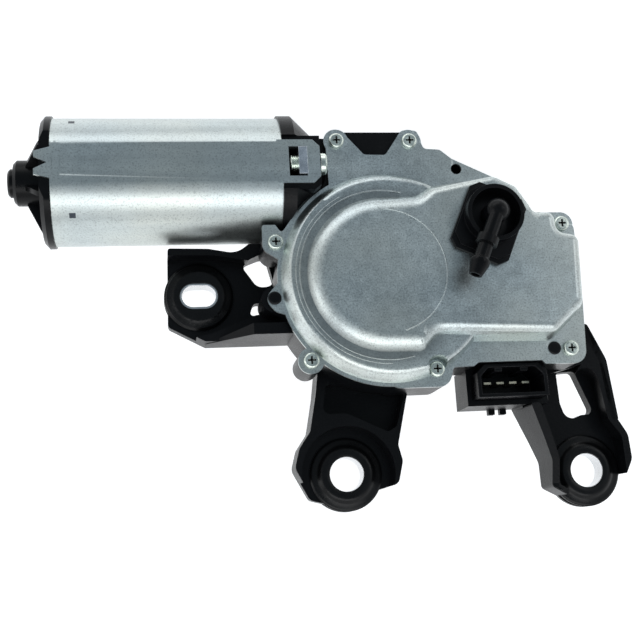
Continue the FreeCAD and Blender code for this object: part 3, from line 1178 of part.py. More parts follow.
def make_inlet_elbow():
    """Elbow with collar and hose barb, seated in the cup."""
    high = PLATEAU_Z + INLET_THICK
    axis_z = high + ELBOW_RISE
    base = high - 1.6
    hub = disc(HUB_RADIUS, base, axis_z + 0.6)
    stem = disc(ELBOW_RADIUS, PLATEAU_Z - 2, base)
    dome_top = Part.makeSphere(HUB_RADIUS, V(0, 0, axis_z - 1.0)).common(
        block(-9, 9, -9, 9, axis_z + 0.6, axis_z + 9))
    steps = [(0, 0), (0, ELBOW_RADIUS), (ELBOW_COLLAR_AT, ELBOW_RADIUS),
             (ELBOW_COLLAR_AT, ELBOW_COLLAR_RADIUS), (ELBOW_COLLAR_AT + ELBOW_COLLAR_LENGTH, ELBOW_COLLAR_RADIUS),
             (ELBOW_COLLAR_AT + ELBOW_COLLAR_LENGTH, ELBOW_RADIUS), (BARB_AT, ELBOW_RADIUS),
             (BARB_AT + 1.4, BARB_RADIUS), (BARB_AT + 2.6, BARB_RADIUS), (ELBOW_REACH, ELBOW_BORE + 0.8),
             (ELBOW_REACH, 0)]
    wire = Part.makePolygon([V(x, 0, axis_z + r) for x, r in steps + steps[:1]])
    arm = Part.Face(wire).revolve(V(0, 0, axis_z), V(1, 0, 0), 360)
    shape = hub.fuse([stem, dome_top, arm])
    shape = shape.cut(disc(ELBOW_BORE, PLATEAU_Z - 9, axis_z))
    bore = Part.makeCylinder(ELBOW_BORE, ELBOW_REACH + 1, V(0, 0, axis_z), V(1, 0, 0))
    return placed(solid_of(shape.cut(bore)), 0, 0, INLET_ANGLE)


def make_inlet_ring():
    """Rubber ring between spigot and shaft end."""
    return Part.makeTorus(SHAFT_BORE + RING_SECTION + 0.6, RING_SECTION,
                          V(0, 0, SHAFT_TOP + SOLID_GAP + RING_SECTION))


def make_water_tube():
    """Thin tube that leads the water down through the shaft."""
    low = CONE_TOP - CONE_LENGTH - STUD_LENGTH - 1.5
    return tube(TUBE_RADIUS, TUBE_BORE, low, PLATEAU_Z - 0.5)


def grommet_solid(outer, low_groove, high_groove):
    """Round rubber grommet with a groove for the foot plate."""
    points = [(GROMMET_GROOVE, low_groove), (outer, low_groove), (outer, 1.2), (outer - 1.2, 0.0),
              (SLEEVE_BORE + SLEEVE_WALL, 0.0), (SLEEVE_BORE + SLEEVE_WALL, GROMMET_HEIGHT),
              (GROMMET_NOSE - 1.4, GROMMET_HEIGHT), (GROMMET_NOSE, GROMMET_HEIGHT - 0.8),
              (GROMMET_NOSE + 0.6, high_groove + 1.6), (outer - 0.8, high_groove + 1.4),
              (outer, high_groove + 0.8), (outer, high_groove), (GROMMET_GROOVE, high_groove)]
    return points


def make_round_grommet(centre):
    """Grommet of the centre or the right foot."""
    points = grommet_solid(GROMMET_RADIUS, FOOT_PLATE_LOW, FOOT_FLOOR_TOP)
    return turned(points, *centre)


def make_round_sleeve(centre):
    """Steel sleeve inside a round grommet."""
    return tube(SLEEVE_BORE + SLEEVE_WALL, SLEEVE_BORE, SLEEVE_LOW, SLEEVE_LOW + SLEEVE_LENGTH, *centre)


def slot_bar(grow, low, high):
    """Bar with round ends, the size of the left foot's slot grown by a distance."""
    radius = SLOT_WIDTH / 2 + grow
    half = (SLOT_LENGTH - SLOT_WIDTH) / 2
    x, y = LEFT_FOOT
    bar = block(x - half, x + half, y - radius, y + radius, low, high)
    bar = bar.fuse([disc(radius, low, high, x - half, y), disc(radius, low, high, x + half, y)])
    return solid_of(bar)


def make_left_grommet():
    """Grommet of the left foot, with a slotted middle."""
    points = grommet_solid(LEFT_GROMMET_RADIUS, FOOT_PLATE_LOW, FOOT_FLOOR_TOP)
    points[4] = (0.0, 0.0)
    points[5] = (0.0, GROMMET_HEIGHT)
    return solid_of(turned(points, *LEFT_FOOT).cut(slot_bar(SLEEVE_WALL, -1, GROMMET_HEIGHT + 1)))


def make_left_sleeve():
    """Slotted steel sleeve of the left foot."""
    high = SLEEVE_LOW + SLEEVE_LENGTH
    return solid_of(slot_bar(SLEEVE_WALL, SLEEVE_LOW, high).cut(slot_bar(0, SLEEVE_LOW - 1, high + 1)))


def write(name, shape):
    """Save one node."""
    shape.exportStep(os.path.join("parts", name + ".step"))


def main():
    """Build and save every node."""
    os.makedirs("parts", exist_ok=True)
    write("gear_housing", make_gear_housing())
    write("cover_plate", make_cover_plate())
    write("cover_gasket", make_cover_gasket())
    write("cover_screws", make_cover_screws())
    write("locating_plugs", make_locating_plugs())
    write("motor_can", make_motor_can())
    write("end_cap", make_end_cap())
    write("can_nuts", make_can_nuts())
    write("can_screws", make_can_screws())
    write("field_magnets", make_field_magnets())
    write("armature_shaft", make_armature_shaft())
    write("armature_core", make_armature_core())
    write("armature_windings", make_armature_windings())
    write("commutator", make_commutator())
    write("rear_bearing", make_rear_bearing())
    write("front_bearing", make_front_bearing())
    write("end_bush", make_end_bush())
    write("thrust_pad", make_thrust_pad())
    write("brush_holder", make_brush_holder())
    write("brushes", make_brushes())
    write("brush_springs", make_brush_springs())
    write("worm_wheel", make_worm_wheel())
    write("wheel_axle", make_wheel_axle())
    write("axle_clip", make_axle_clip())
    write("crank_pin", make_crank_pin())
    write("drive_rod", make_drive_rod())
    write("link_plate", make_link_plate())
    write("sector_pin", make_sector_pin())
    write("output_pinion", make_output_pinion())
    write("output_shaft", make_output_shaft())
    write("shaft_bushes", make_shaft_bushes())
    write("thrust_washer", make_thrust_washer())
    write("shaft_clip", make_shaft_clip())
    write("shaft_circlip", make_shaft_circlip())
    write("tower_seal", make_tower_seal())
    write("connector_shroud", make_connector_shroud())
    write("connector_pins", make_connector_pins())
    write("contact_plate", make_contact_plate())
    write("inlet_flange", make_inlet_flange())
    write("inlet_elbow", make_inlet_elbow())
    write("inlet_ring", make_inlet_ring())
    write("water_tube", make_water_tube())
    write("centre_grommet", make_round_grommet(CENTRE_FOOT))
    write("centre_sleeve", make_round_sleeve(CENTRE_FOOT))
    write("right_grommet", make_round_grommet(RIGHT_FOOT))
    write("right_sleeve", make_round_sleeve(RIGHT_FOOT))
    write("left_grommet", make_left_grommet())
    write("left_sleeve", make_left_sleeve())


main()
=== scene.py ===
import math

import bmesh
import bpy
from bpy.props import FloatProperty, FloatVectorProperty, PointerProperty
from bpy.types import Operator, Panel, PropertyGroup
from mathutils import Matrix, Vector


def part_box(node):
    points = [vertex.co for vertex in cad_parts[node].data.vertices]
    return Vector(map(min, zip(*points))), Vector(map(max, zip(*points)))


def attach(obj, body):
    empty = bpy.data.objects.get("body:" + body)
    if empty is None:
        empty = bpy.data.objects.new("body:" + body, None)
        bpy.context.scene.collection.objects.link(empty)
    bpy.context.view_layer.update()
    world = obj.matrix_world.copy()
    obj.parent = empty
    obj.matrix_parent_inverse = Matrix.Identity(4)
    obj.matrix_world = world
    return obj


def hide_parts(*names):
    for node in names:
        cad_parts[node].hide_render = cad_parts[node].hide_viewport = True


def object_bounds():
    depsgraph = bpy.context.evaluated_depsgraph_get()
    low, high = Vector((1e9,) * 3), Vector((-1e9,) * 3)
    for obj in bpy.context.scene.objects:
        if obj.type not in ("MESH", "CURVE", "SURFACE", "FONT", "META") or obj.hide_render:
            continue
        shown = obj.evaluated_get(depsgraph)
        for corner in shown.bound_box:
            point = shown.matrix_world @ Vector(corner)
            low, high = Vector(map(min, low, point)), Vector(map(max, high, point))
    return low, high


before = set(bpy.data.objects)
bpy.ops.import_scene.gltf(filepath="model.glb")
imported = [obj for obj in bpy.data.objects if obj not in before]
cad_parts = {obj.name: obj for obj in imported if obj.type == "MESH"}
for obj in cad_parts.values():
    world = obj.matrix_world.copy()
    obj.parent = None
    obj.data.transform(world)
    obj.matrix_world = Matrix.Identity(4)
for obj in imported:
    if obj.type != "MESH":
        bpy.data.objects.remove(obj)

bl_info = {
    "name": "Wiper motor dressing",
    "version": (1, 0, 0),
    "blender": (4, 5, 0),
    "location": "View3D > Sidebar > Wiper motor",
    "description": "Finishes, fine pieces, floor, light and camera for a rear-window wiper motor",
    "category": "Object",
}

MM = 0.001
CAD_BOX = [list(corner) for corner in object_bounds()]
STAGE_LEVEL = min(CAD_BOX[0][2], CAD_BOX[1][2]) - 0.2 * MM
SHARP_EDGE = math.radians(38.0)
SMOOTH_TO = math.radians(48.0)
NEW_SMOOTH_TO = math.radians(40.0)
FLAT_WITHIN = math.radians(0.6)

# Places on the CAD solids that the new pieces and the reshaped copies are set against
SHAFT_LOW, SHAFT_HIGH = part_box("output_shaft")
COVER_SHEET = 1.2 * MM
FLANGE_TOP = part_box("cover_plate")[0][2] + COVER_SHEET
SHELF_TOP = 36.0 * MM
PLATEAU_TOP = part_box("cover_plate")[1][2]
DISC_CENTRE = (-0.0412, -0.0191)
DISC_RADIUS = 0.0232
DOME_CENTRE = (-40.0 * MM, -19.4 * MM)
DOME_FOOT = 30.6 * MM
DOME_TOP_RADIUS = 31.0 * MM
INLET_REACH = 17.0 * MM
PLATEAU_CORNER = (20.0 * MM, -18.0 * MM)
ROUND_PART_END = -27.5 * MM
BLEND_SPAN = 16.0 * MM
CREASES = ((31.9, 0.34, 76.0, 209.0), (33.3, 0.24, 118.0, 152.0))
MOTOR_AXIS = (0.0236, 0.015)
CAN_RADIUS = 24.0 * MM
CAN_FLAT = 22.8 * MM
CAN_REAR = -0.150
SCREWS = ((-54.4, 34.2), (-26.1, 34.1), (-79.4, -5.2), (-68.6, -49.8), (-22.4, -54.5), (29.9, -48.3),
          (31.3, 0.3))
FLUTES = 40
FEET = {"centre": (-0.0545, -0.0897), "right": (0.0398, -0.0927), "left": (-0.1072, -0.0197)}


def colour(name, description, default):
    """Colour property."""
    return FloatVectorProperty(name=name, description=description, subtype="COLOR", size=3,
                               min=0.0, max=1.0, default=default)


def length(name, description, default):
    """Length property, in metres."""
    return FloatProperty(name=name, description=description, subtype="DISTANCE", unit="LENGTH",
                         min=0.0, default=default)


class FinishColours(PropertyGroup):
    """Colours of the finishes."""
    galvanised: colour("Galvanised steel", "Cover and motor can", (0.56, 0.625, 0.635))
    zinc: colour("Zinc plating", "Screws and nuts", (0.74, 0.80, 0.73))
    bright: colour("Bright steel", "Sleeves of the feet", (0.66, 0.67, 0.68))
    turned: colour("Turned steel", "Shafts, pins and links", (0.50, 0.50, 0.50))
    cast: colour("Coated casting", "Gear housing", (0.0034, 0.0038, 0.0046))
    plastic: colour("Black plastic", "End cap, inlet and socket", (0.0030, 0.0033, 0.0040))
    rubber: colour("Black rubber", "Grommets, gasket and seal", (0.0030, 0.0032, 0.0036))
    copper: colour("Copper", "Windings and commutator", (0.62, 0.24, 0.10))
    bronze: colour("Sintered bronze", "Bushes and bearings", (0.42, 0.27, 0.11))
    gear: colour("Gear plastic", "Worm wheel", (0.68, 0.65, 0.54))
    board: colour("Laminate board", "Contact plate", (0.16, 0.09, 0.03))
    ferrite: colour("Ferrite", "Field magnets", (0.035, 0.035, 0.038))
    carbon: colour("Carbon", "Brushes", (0.02, 0.02, 0.02))
    tin: colour("Tinned contact", "Contacts of the socket", (0.74, 0.68, 0.52))
    nut: colour("Plated nut", "Square nuts of the can", (0.62, 0.66, 0.72))
    # Painted shade: near-black tone for the small boxes that stand in for the shade inside the can's lanced
    # dents
    lance: colour("Lanced recess", "Floor of the can's lances", (0.05, 0.06, 0.075))
    # Painted shade: near-black tone for the crosses laid in the screws' recesses
    recess: colour("Recess shade", "Floor of the screws' cross recesses", (0.012, 0.013, 0.012))


class EdgeSizes(PropertyGroup):
    """Widths of the rounded edges."""
    casting: length("Casting edge", "Rounding of the housing's edges", 0.45 * MM)
    sheet: length("Sheet edge", "Rounding of sheet metal edges", 0.14 * MM)
    moulding: length("Moulding edge", "Rounding of plastic and rubber edges", 0.3 * MM)
    small: length("Small edge", "Rounding of screws, nuts and contacts", 0.12 * MM)


class FormSizes(PropertyGroup):
    """Sizes of the forms that are finished here."""
    shoulder: length("Dome shoulder", "How far the dome's rounding reaches inward", 5.0 * MM)
    far_shoulder: length("Far shoulder", "The same on the plateau's straight sides", 0.9 * MM)
    grommet: length("Grommet radius", "Outer radius of the round rubber grommets", 13.8 * MM)
    left_grommet: length("Left grommet radius", "Outer radius of the slotted grommet", 13.2 * MM)
    rib_top: length("Rib level", "Upper level of the two high arm ribs", 26.0 * MM)
    boss: length("Cap boss radius", "Radius of the bearing boss on the end cap", 8.6 * MM)
    nose: length("Cap nose radius", "Radius of the small nose on the boss", 5.4 * MM)
    pitch: length("Stud pitch", "Thread pitch of the stud for the wiper arm", 1.25 * MM)
    fine_pitch: length("Screw pitch", "Thread pitch of the can's screws", 0.8 * MM)


class ViewSetup(PropertyGroup):
    """Camera, light and floor."""
    camera_place: FloatVectorProperty(name="Camera place", description="Camera position", subtype="XYZ",
                                      unit="LENGTH", size=3, default=(-0.1253, -0.1155, 0.4128))
    lens: FloatProperty(name="Lens", description="Focal length in millimetres", min=10.0, default=61.03)
    floor_size: length("Floor size", "Side of the square floor", 4.0)
    lamp_power: FloatProperty(name="Lamp power", description="Power of the main lamp in watts", min=0.0,
                              default=1.85)
    ceiling: colour("Ceiling", "Light from straight above, dim in a studio", (0.225, 0.27, 0.305))


def forms():
    """Form sizes of the scene."""
    return bpy.context.scene.motor_forms


def looks(context):
    """Colours and edge widths of the scene."""
    return context.scene.motor_colours, context.scene.motor_edges


# Shader groups

def open_group(name, inputs, outputs):
    """Node group with named sockets, and whether it is new."""
    tree = bpy.data.node_groups.get(name)
    if tree is not None:
        return tree, None, None
    tree = bpy.data.node_groups.new(name, "ShaderNodeTree")
    for title, kind, value in inputs:
        socket = tree.interface.new_socket(name=title, in_out="INPUT", socket_type=kind)
        if value is not None:
            socket.default_value = value
    for title, kind in outputs:
        tree.interface.new_socket(name=title, in_out="OUTPUT", socket_type=kind)
    return tree, tree.nodes.new("NodeGroupInput"), tree.nodes.new("NodeGroupOutput")


def add_node(tree, kind, inputs=None, **traits):
    """Node with its traits set, and its inputs set by links, numbers, vectors or colours."""
    node = tree.nodes.new(kind)
    for trait, value in traits.items():
        setattr(node, trait, value)
    for title, value in (inputs or {}).items():
        socket = node.inputs[title]
        if isinstance(value, bpy.types.NodeSocket):
            tree.links.new(value, socket)
        elif isinstance(value, (int, float)):
            socket.default_value = value
        else:
            socket.default_value = tuple(value) + (1.0,) * (len(socket.default_value) - len(value))
    return node


def noise(tree, place, scale, detail, rough=0.5, stretch=None):
    """Noise texture on a coordinate, stretched along an axis where asked."""
    if stretch is not None:
        place = add_node(tree, "ShaderNodeMapping", {"Scale": stretch, "Vector": place}).outputs["Vector"]
    return add_node(tree, "ShaderNodeTexNoise", {
        "Detail": detail, "Roughness": rough, "Vector": place, "Scale": scale}).outputs["Fac"]


def ramp(tree, value, low, high, out_low=0.0, out_high=1.0):
    """Value spread from one span to another."""
    return add_node(tree, "ShaderNodeMapRange", {
        "From Min": low, "From Max": high, "To Min": out_low, "To Max": out_high,
        "Value": value}).outputs["Result"]


def arithmetic(tree, kind, first, second):
    """Math node on two sockets or numbers."""
    return add_node(tree, "ShaderNodeMath", {0: first, 1: second}, operation=kind).outputs["Value"]


def product(tree, *values):
    """Values multiplied together."""
    total = values[0]
    for value in values[1:]:
        total = arithmetic(tree, "MULTIPLY", total, value)
    return total


def blended(tree, factor, first, second):
    """Colour mix of two sockets or colours."""
    return add_node(tree, "ShaderNodeMix", {0: factor, 6: first, 7: second}, data_type="RGBA").outputs[2]


def put_group(tree, group, **values):
    """Group node with its sockets set."""
    return add_node(tree, "ShaderNodeGroup", values, node_tree=group)


def grain_group():
    """Grain in two sizes: tone for the colour, height for the relief."""
    tree, start, end = open_group(
        "Surface grain",
        [("Place", "NodeSocketVector", None), ("Fine", "NodeSocketFloat", 900.0),
         ("Coarse", "NodeSocketFloat", 60.0)],
        [("Tone", "NodeSocketFloat"), ("Height", "NodeSocketFloat")])
    if start is None:
        return tree
    fine = noise(tree, start.outputs["Place"], start.outputs["Fine"], 4.0, 0.6)
    coarse = noise(tree, start.outputs["Place"], start.outputs["Coarse"], 3.0)
    tone = arithmetic(tree, "ADD", product(tree, ramp(tree, fine, 0.3, 0.7), 0.5),
                      product(tree, ramp(tree, coarse, 0.35, 0.65), 0.5))
    tree.links.new(tone, end.inputs["Tone"])
    tree.links.new(ramp(tree, fine, 0.3, 0.7), end.inputs["Height"])
    return tree


def tint_group():
    """Colour made darker and lighter by a tone."""
    tree, start, end = open_group(
        "Toned colour",
        [("Colour", "NodeSocketColor", (0.5, 0.5, 0.5, 1.0)), ("Tone", "NodeSocketFloat", 0.5),
         ("Spread", "NodeSocketFloat", 0.2)],
        [("Colour", "NodeSocketColor")])
    if start is None:
        return tree
    swing = product(tree, arithmetic(tree, "SUBTRACT", start.outputs["Tone"], 0.5), start.outputs["Spread"])
    level = arithmetic(tree, "ADD", product(tree, swing, 2.0), 1.0)
    scaled = add_node(tree, "ShaderNodeVectorMath", {0: start.outputs["Colour"], "Scale": level},
                      operation="SCALE")
    tree.links.new(scaled.outputs["Vector"], end.inputs["Colour"])
    return tree


def edge_wear_and_highlight_group():
    """Lighter band along rounded edges, broken up by noise: partly edge wear, partly a painted edge
    highlight.
    """
    tree, start, end = open_group(
        "Edge wear",
        [("Colour", "NodeSocketColor", (0.5, 0.5, 0.5, 1.0)),
         ("Worn", "NodeSocketColor", (0.7, 0.7, 0.7, 1.0)), ("Band", "NodeSocketFloat", 0.0),
         ("Place", "NodeSocketVector", None), ("Amount", "NodeSocketFloat", 0.5)],
        [("Colour", "NodeSocketColor")])
    if start is None:
        return tree
    patch = ramp(tree, noise(tree, start.outputs["Place"], 140.0, 3.0), 0.4, 0.62)
    mask = product(tree, start.outputs["Band"], patch, start.outputs["Amount"])
    tree.links.new(blended(tree, mask, start.outputs["Colour"], start.outputs["Worn"]),
                   end.inputs["Colour"])
    return tree


def scratch_group():
    """Thin straight scuffs in two directions."""
    tree, start, end = open_group(
        "Fine scuffs", [("Place", "NodeSocketVector", None)], [("Mask", "NodeSocketFloat")])
    if start is None:
        return tree
    total = None
    for turn, seed in ((0.75, 0.0), (-0.62, 3.1)):
        mapping = add_node(tree, "ShaderNodeMapping", {
            "Rotation": (0.0, 0.0, turn), "Location": (seed, seed, 0.0), "Scale": (1.0, 34.0, 1.0),
            "Vector": start.outputs["Place"]})
        thin = ramp(tree, noise(tree, mapping.outputs["Vector"], 75.0, 1.0), 0.725, 0.75)
        where = ramp(tree, noise(tree, start.outputs["Place"], 60.0 + 9 * seed, 1.0), 0.56, 0.66)
        mask = product(tree, thin, where)
        total = mask if total is None else arithmetic(tree, "MAXIMUM", total, mask)
    tree.links.new(total, end.inputs["Mask"])
    return tree


def spangle_group():
    """Mottled zinc: soft crystals with slightly different tones."""
    tree, start, end = open_group(
        "Zinc mottle", [("Place", "NodeSocketVector", None), ("Size", "NodeSocketFloat", 420.0)],
        [("Tone", "NodeSocketFloat")])
    if start is None:
        return tree
    cells = add_node(tree, "ShaderNodeTexVoronoi", {
        "Smoothness": 0.6, "Vector": start.outputs["Place"], "Scale": start.outputs["Size"]},
        feature="SMOOTH_F1")
    grey = add_node(tree, "ShaderNodeSeparateColor", {"Color": cells.outputs["Color"]})
    cloud = ramp(tree, noise(tree, start.outputs["Place"], 30.0, 4.0, 0.62), 0.3, 0.7)
    specks = ramp(tree, noise(tree, start.outputs["Place"], 1500.0, 2.0), 0.34, 0.66)
    tone = arithmetic(tree, "ADD", product(tree, grey.outputs["Red"], 0.25),
                      arithmetic(tree, "ADD", product(tree, cloud, 0.35), product(tree, specks, 0.4)))
    tree.links.new(tone, end.inputs["Tone"])
    return tree


# Materials

def cleared(owner, kind):
    """Node tree of a material or a world, emptied, and its output."""
    owner.use_nodes = True
    tree = owner.node_tree
    tree.nodes.clear()
    return tree, tree.nodes.new(kind)


def new_surface(name):
    """Empty material with its shader, coordinates and edge band."""
    material = bpy.data.materials.new(name)
    tree, end = cleared(material, "ShaderNodeOutputMaterial")
    shader = tree.nodes.new("ShaderNodeBsdfPrincipled")
    tree.links.new(shader.outputs["BSDF"], end.inputs["Surface"])
    place = tree.nodes.new("ShaderNodeTexCoord").outputs["Object"]
    band = add_node(tree, "ShaderNodeAttribute", attribute_name="edge_band")
    return material, tree, shader, place, band.outputs["Fac"]


def add_relief(tree, shader, height, depth):
    """Bump from a height value."""
    bump = add_node(tree, "ShaderNodeBump", {"Strength": 1.0, "Distance": depth, "Height": height})
    tree.links.new(bump.outputs["Normal"], shader.inputs["Normal"])


def grained(name, tone, metallic, rough, fine=900.0, coarse=60.0, spread=0.15, relief=0.02 * MM,
            rough_swing=0.06, worn=None, wear=0.0, shine=0.5):
    """Surface with grain in colour, roughness and relief, and lighter edges where asked, partly wear and
    partly painted highlight.
    """
    found = bpy.data.materials.get(name)
    if found is not None:
        return found
    material, tree, shader, place, band = new_surface(name)
    grain = put_group(tree, grain_group(), Place=place, Fine=fine, Coarse=coarse)
    tint = put_group(tree, tint_group(), Colour=tone, Tone=grain.outputs["Tone"], Spread=spread)
    base = tint.outputs["Colour"]
    if worn is not None:
        edge = put_group(tree, edge_wear_and_highlight_group(), Colour=base, Worn=worn, Band=band, Place=place, Amount=wear)
        base = edge.outputs["Colour"]
    tree.links.new(base, shader.inputs["Base Color"])
    shader.inputs["Metallic"].default_value = metallic
    shader.inputs["Specular IOR Level"].default_value = shine
    tree.links.new(ramp(tree, grain.outputs["Tone"], 0.0, 1.0, rough - rough_swing, rough + rough_swing),
                   shader.inputs["Roughness"])
    add_relief(tree, shader, grain.outputs["Height"], relief)
    return material


def painted_channel_shade(tree, place):
    """Mask of painted shade in the channel at the foot of the cover's dome."""
    spot = add_node(tree, "ShaderNodeSeparateXYZ", {"Vector": place})
    x = arithmetic(tree, "SUBTRACT", spot.outputs["X"], DOME_CENTRE[0])
    y = arithmetic(tree, "SUBTRACT", spot.outputs["Y"], DOME_CENTRE[1])
    squares = arithmetic(tree, "ADD", product(tree, x, x), product(tree, y, y))
    reach = arithmetic(tree, "POWER", squares, 0.5)
    near = ramp(tree, reach, DOME_FOOT + 0.6 * MM, DOME_FOOT + 4.6 * MM, 1.0, 0.0)
    low = ramp(tree, spot.outputs["Z"], SHELF_TOP + 0.1 * MM, SHELF_TOP + 1.6 * MM, 1.0, 0.0)
    left = ramp(tree, spot.outputs["X"], -26.0 * MM, -14.0 * MM, 1.0, 0.0)
    patchy = ramp(tree, noise(tree, place, 160.0, 2.0, 0.6), 0.3, 0.6, 0.75, 1.0)
    return product(tree, near, low, left, patchy, 0.62)


def galvanised_sheet(name, tone, streaks=None, scuffed=0.5, rough=(0.28, 0.42), spread=0.36):
    """Zinc coated sheet: mottle, specks and scuffs, and either drawing streaks or painted shade in the
    cover's channel.
    """
    found = bpy.data.materials.get(name)
    if found is not None:
        return found
    material, tree, shader, place, band = new_surface(name)
    mottle = put_group(tree, spangle_group(), Place=place, Size=420.0)
    tint = put_group(tree, tint_group(), Colour=tone, Tone=mottle.outputs["Tone"], Spread=spread)
    scuffs = put_group(tree, scratch_group(), Place=place)
    base = blended(tree, product(tree, scuffs.outputs["Mask"], scuffed), tint.outputs["Colour"],
                   tuple(min(1.0, c * 1.5) for c in tone))
    warmth = ramp(tree, noise(tree, place, 22.0, 2.0, 0.5), 0.38, 0.66, 0.0, 0.7)
    base = blended(tree, warmth, base, (tone[0] * 1.16, tone[1] * 1.08, tone[2] * 0.98))
    specks = ramp(tree, noise(tree, place, 1700.0, 2.0, 0.65), 0.34, 0.47, 0.5, 0.0)
    base = blended(tree, specks, base, tuple(c * 0.34 for c in tone))
    if streaks is not None:
        drawn = ramp(tree, noise(tree, place, 260.0, 3.0, 0.6, streaks), 0.35, 0.65, 0.0, 0.35)
        base = blended(tree, drawn, base, tuple(c * 0.72 for c in tone))
    else:
        # Painted shade: the channel at the dome's foot is darkened to 0.3 of the tone.
        base = blended(tree, painted_channel_shade(tree, place), base, tuple(c * 0.3 for c in tone))
    # Lighter band along the sheet's rounded edges: partly wear, partly a painted highlight line
    edge = put_group(tree, edge_wear_and_highlight_group(), Colour=base, Worn=tuple(min(1.0, c * 1.4) for c in tone),
                     Band=band, Place=place, Amount=0.8)
    tree.links.new(edge.outputs["Colour"], shader.inputs["Base Color"])
    shader.inputs["Metallic"].default_value = 1.0
    tree.links.new(ramp(tree, mottle.outputs["Tone"], 0.0, 1.0, *rough), shader.inputs["Roughness"])
    add_relief(tree, shader, mottle.outputs["Tone"], 0.012 * MM)
    return material


# Pieces

def linked(verts, kind):
    """Edges or faces that touch the vertices, each once and in order."""
    return list(dict.fromkeys(item for vert in verts for item in getattr(vert, kind)))


def placed(name, data):
    """Object in the scene's collection."""
    thing = bpy.data.objects.new(name, data)
    bpy.context.scene.collection.objects.link(thing)
    return thing


def paint(thing, material):
    """One material all over a piece or a node."""
    slots = thing.data.materials
    slots.clear()
    slots.append(material)


def paint_nodes(names, material):
    """One material on several CAD nodes."""
    for name in names:
        paint(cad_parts[name], material)


def rounded(work, edges, width, segments, slide=False):
    """Round edges off, and give the faces that this makes."""
    return bmesh.ops.bevel(work, geom=edges, offset=width, offset_type="OFFSET", segments=segments,
                           profile=0.5, affect="EDGES", clamp_overlap=True, loop_slide=slide,
                           material=-1)["faces"]


def dressed_copy(node, edge_width, material, name=None, reshape=None):
    """Copy of one of the housing's CAD nodes with rounded edges and soft shading, in its place."""
    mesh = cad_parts[node].data.copy()
    work = bmesh.new()
    work.from_mesh(mesh)
    bmesh.ops.remove_doubles(work, verts=work.verts, dist=0.002 * MM)
    if reshape is not None:
        work.normal_update()
        reshape(work)
    bmesh.ops.dissolve_limit(work, angle_limit=FLAT_WITHIN, verts=work.verts, edges=work.edges)
    band = work.faces.layers.float.new("edge_band")
    edges = [e for e in work.edges if len(e.link_faces) == 2 and e.calc_face_angle(0.0) > SHARP_EDGE]
    for face in rounded(work, edges, edge_width, 2, True):
        face[band] = 1.0
    for face in work.faces:
        face.smooth = True
    for edge in work.edges:
        edge.smooth = edge.calc_face_angle(0.0) < SMOOTH_TO
    bmesh.ops.triangulate(work, faces=[f for f in work.faces if len(f.verts) > 4])
    work.to_mesh(mesh)
    work.free()
    piece = placed(name or node + "_dressed", mesh)
    weigh = piece.modifiers.new("Even shading", "WEIGHTED_NORMAL")
    weigh.keep_sharp = True
    paint(piece, material)
    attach(piece, "housing")
    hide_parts(node)


def new_piece(work, name, material, replaced=None, body="housing"):
    """Object from a bmesh, with soft shading and sharp edges, riding on a body."""
    bmesh.ops.remove_doubles(work, verts=work.verts, dist=0.001 * MM)
    bmesh.ops.recalc_face_normals(work, faces=work.faces)
    for face in work.faces:
        face.smooth = True
    for edge in work.edges:
        edge.smooth = len(edge.link_faces) != 2 or edge.calc_face_angle(0.0) < NEW_SMOOTH_TO
    mesh = bpy.data.meshes.new(name)
    work.to_mesh(mesh)
    work.free()
    piece = placed(name, mesh)
    paint(piece, material)
    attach(piece, body)
    if replaced is not None:
        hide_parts(replaced)


def spun(work, profile, centre, way="Z", steps=64):
    """Full turn of a closed profile of radius and height, in millimetres, about a Z or an X axis."""
    verts = []
    for radius, level in profile:
        if way == "Z":
            place = (centre[0] + radius * MM, centre[1], level * MM)
        else:
            place = (level * MM, centre[0] + radius * MM, centre[1])
        verts.append(work.verts.new(place))
    edges = [work.edges.new(pair) for pair in zip(verts, verts[1:] + verts[:1])]
    if way == "Z":
        middle, axis = (centre[0], centre[1], 0.0), (0.0, 0.0, 1.0)
    else:
        middle, axis = (0.0, centre[0], centre[1]), (1.0, 0.0, 0.0)
    bmesh.ops.spin(work, geom=verts + edges, cent=middle, axis=axis, dvec=(0.0, 0.0, 0.0),
                   angle=2 * math.pi, steps=steps, use_merge=True, use_duplicate=False)


def slab(work, corners, low, high, rounding=0.0):
    """Upright slab on a flat outline in millimetres, with its corners rounded."""
    verts = [work.verts.new((x * MM, y * MM, low * MM)) for x, y in corners]
    face = work.faces.new(verts)
    made = bmesh.ops.extrude_face_region(work, geom=[face])
    top = [v for v in made["geom"] if isinstance(v, bmesh.types.BMVert)]
    bmesh.ops.translate(work, verts=top, vec=(0.0, 0.0, (high - low) * MM))
    if rounding > 0.0:
        upright = [e for e in linked(verts + top, "link_edges")
                   if abs(e.verts[0].co.z - e.verts[1].co.z) > 0.5 * (high - low) * MM]
        rounded(work, upright, rounding * MM, 4)


def clipped(work, place, normal):
    """Cut off what lies beyond a plane, and close the cut."""
    cut = bmesh.ops.bisect_plane(work, geom=work.verts[:] + work.edges[:] + work.faces[:], dist=0.0,
                                 plane_co=place, plane_no=normal, clear_outer=True)
    rim = [e for e in cut["geom_cut"] if isinstance(e, bmesh.types.BMEdge)]
    bmesh.ops.holes_fill(work, edges=rim, sides=0)


def sloped(work, first, second, along):
    """Cut off what lies above a line of place and level, both in millimetres."""
    run = Vector((second[0] - first[0], second[1] - first[1])).normalized()
    if along == "x":
        place, normal = (first[0] * MM, 0.0, first[1] * MM), (-run.y, 0.0, run.x)
    else:
        place, normal = (0.0, first[0] * MM, first[1] * MM), (0.0, -run.y, run.x)
    clipped(work, place, Vector(normal) if normal[2] > 0 else -Vector(normal))


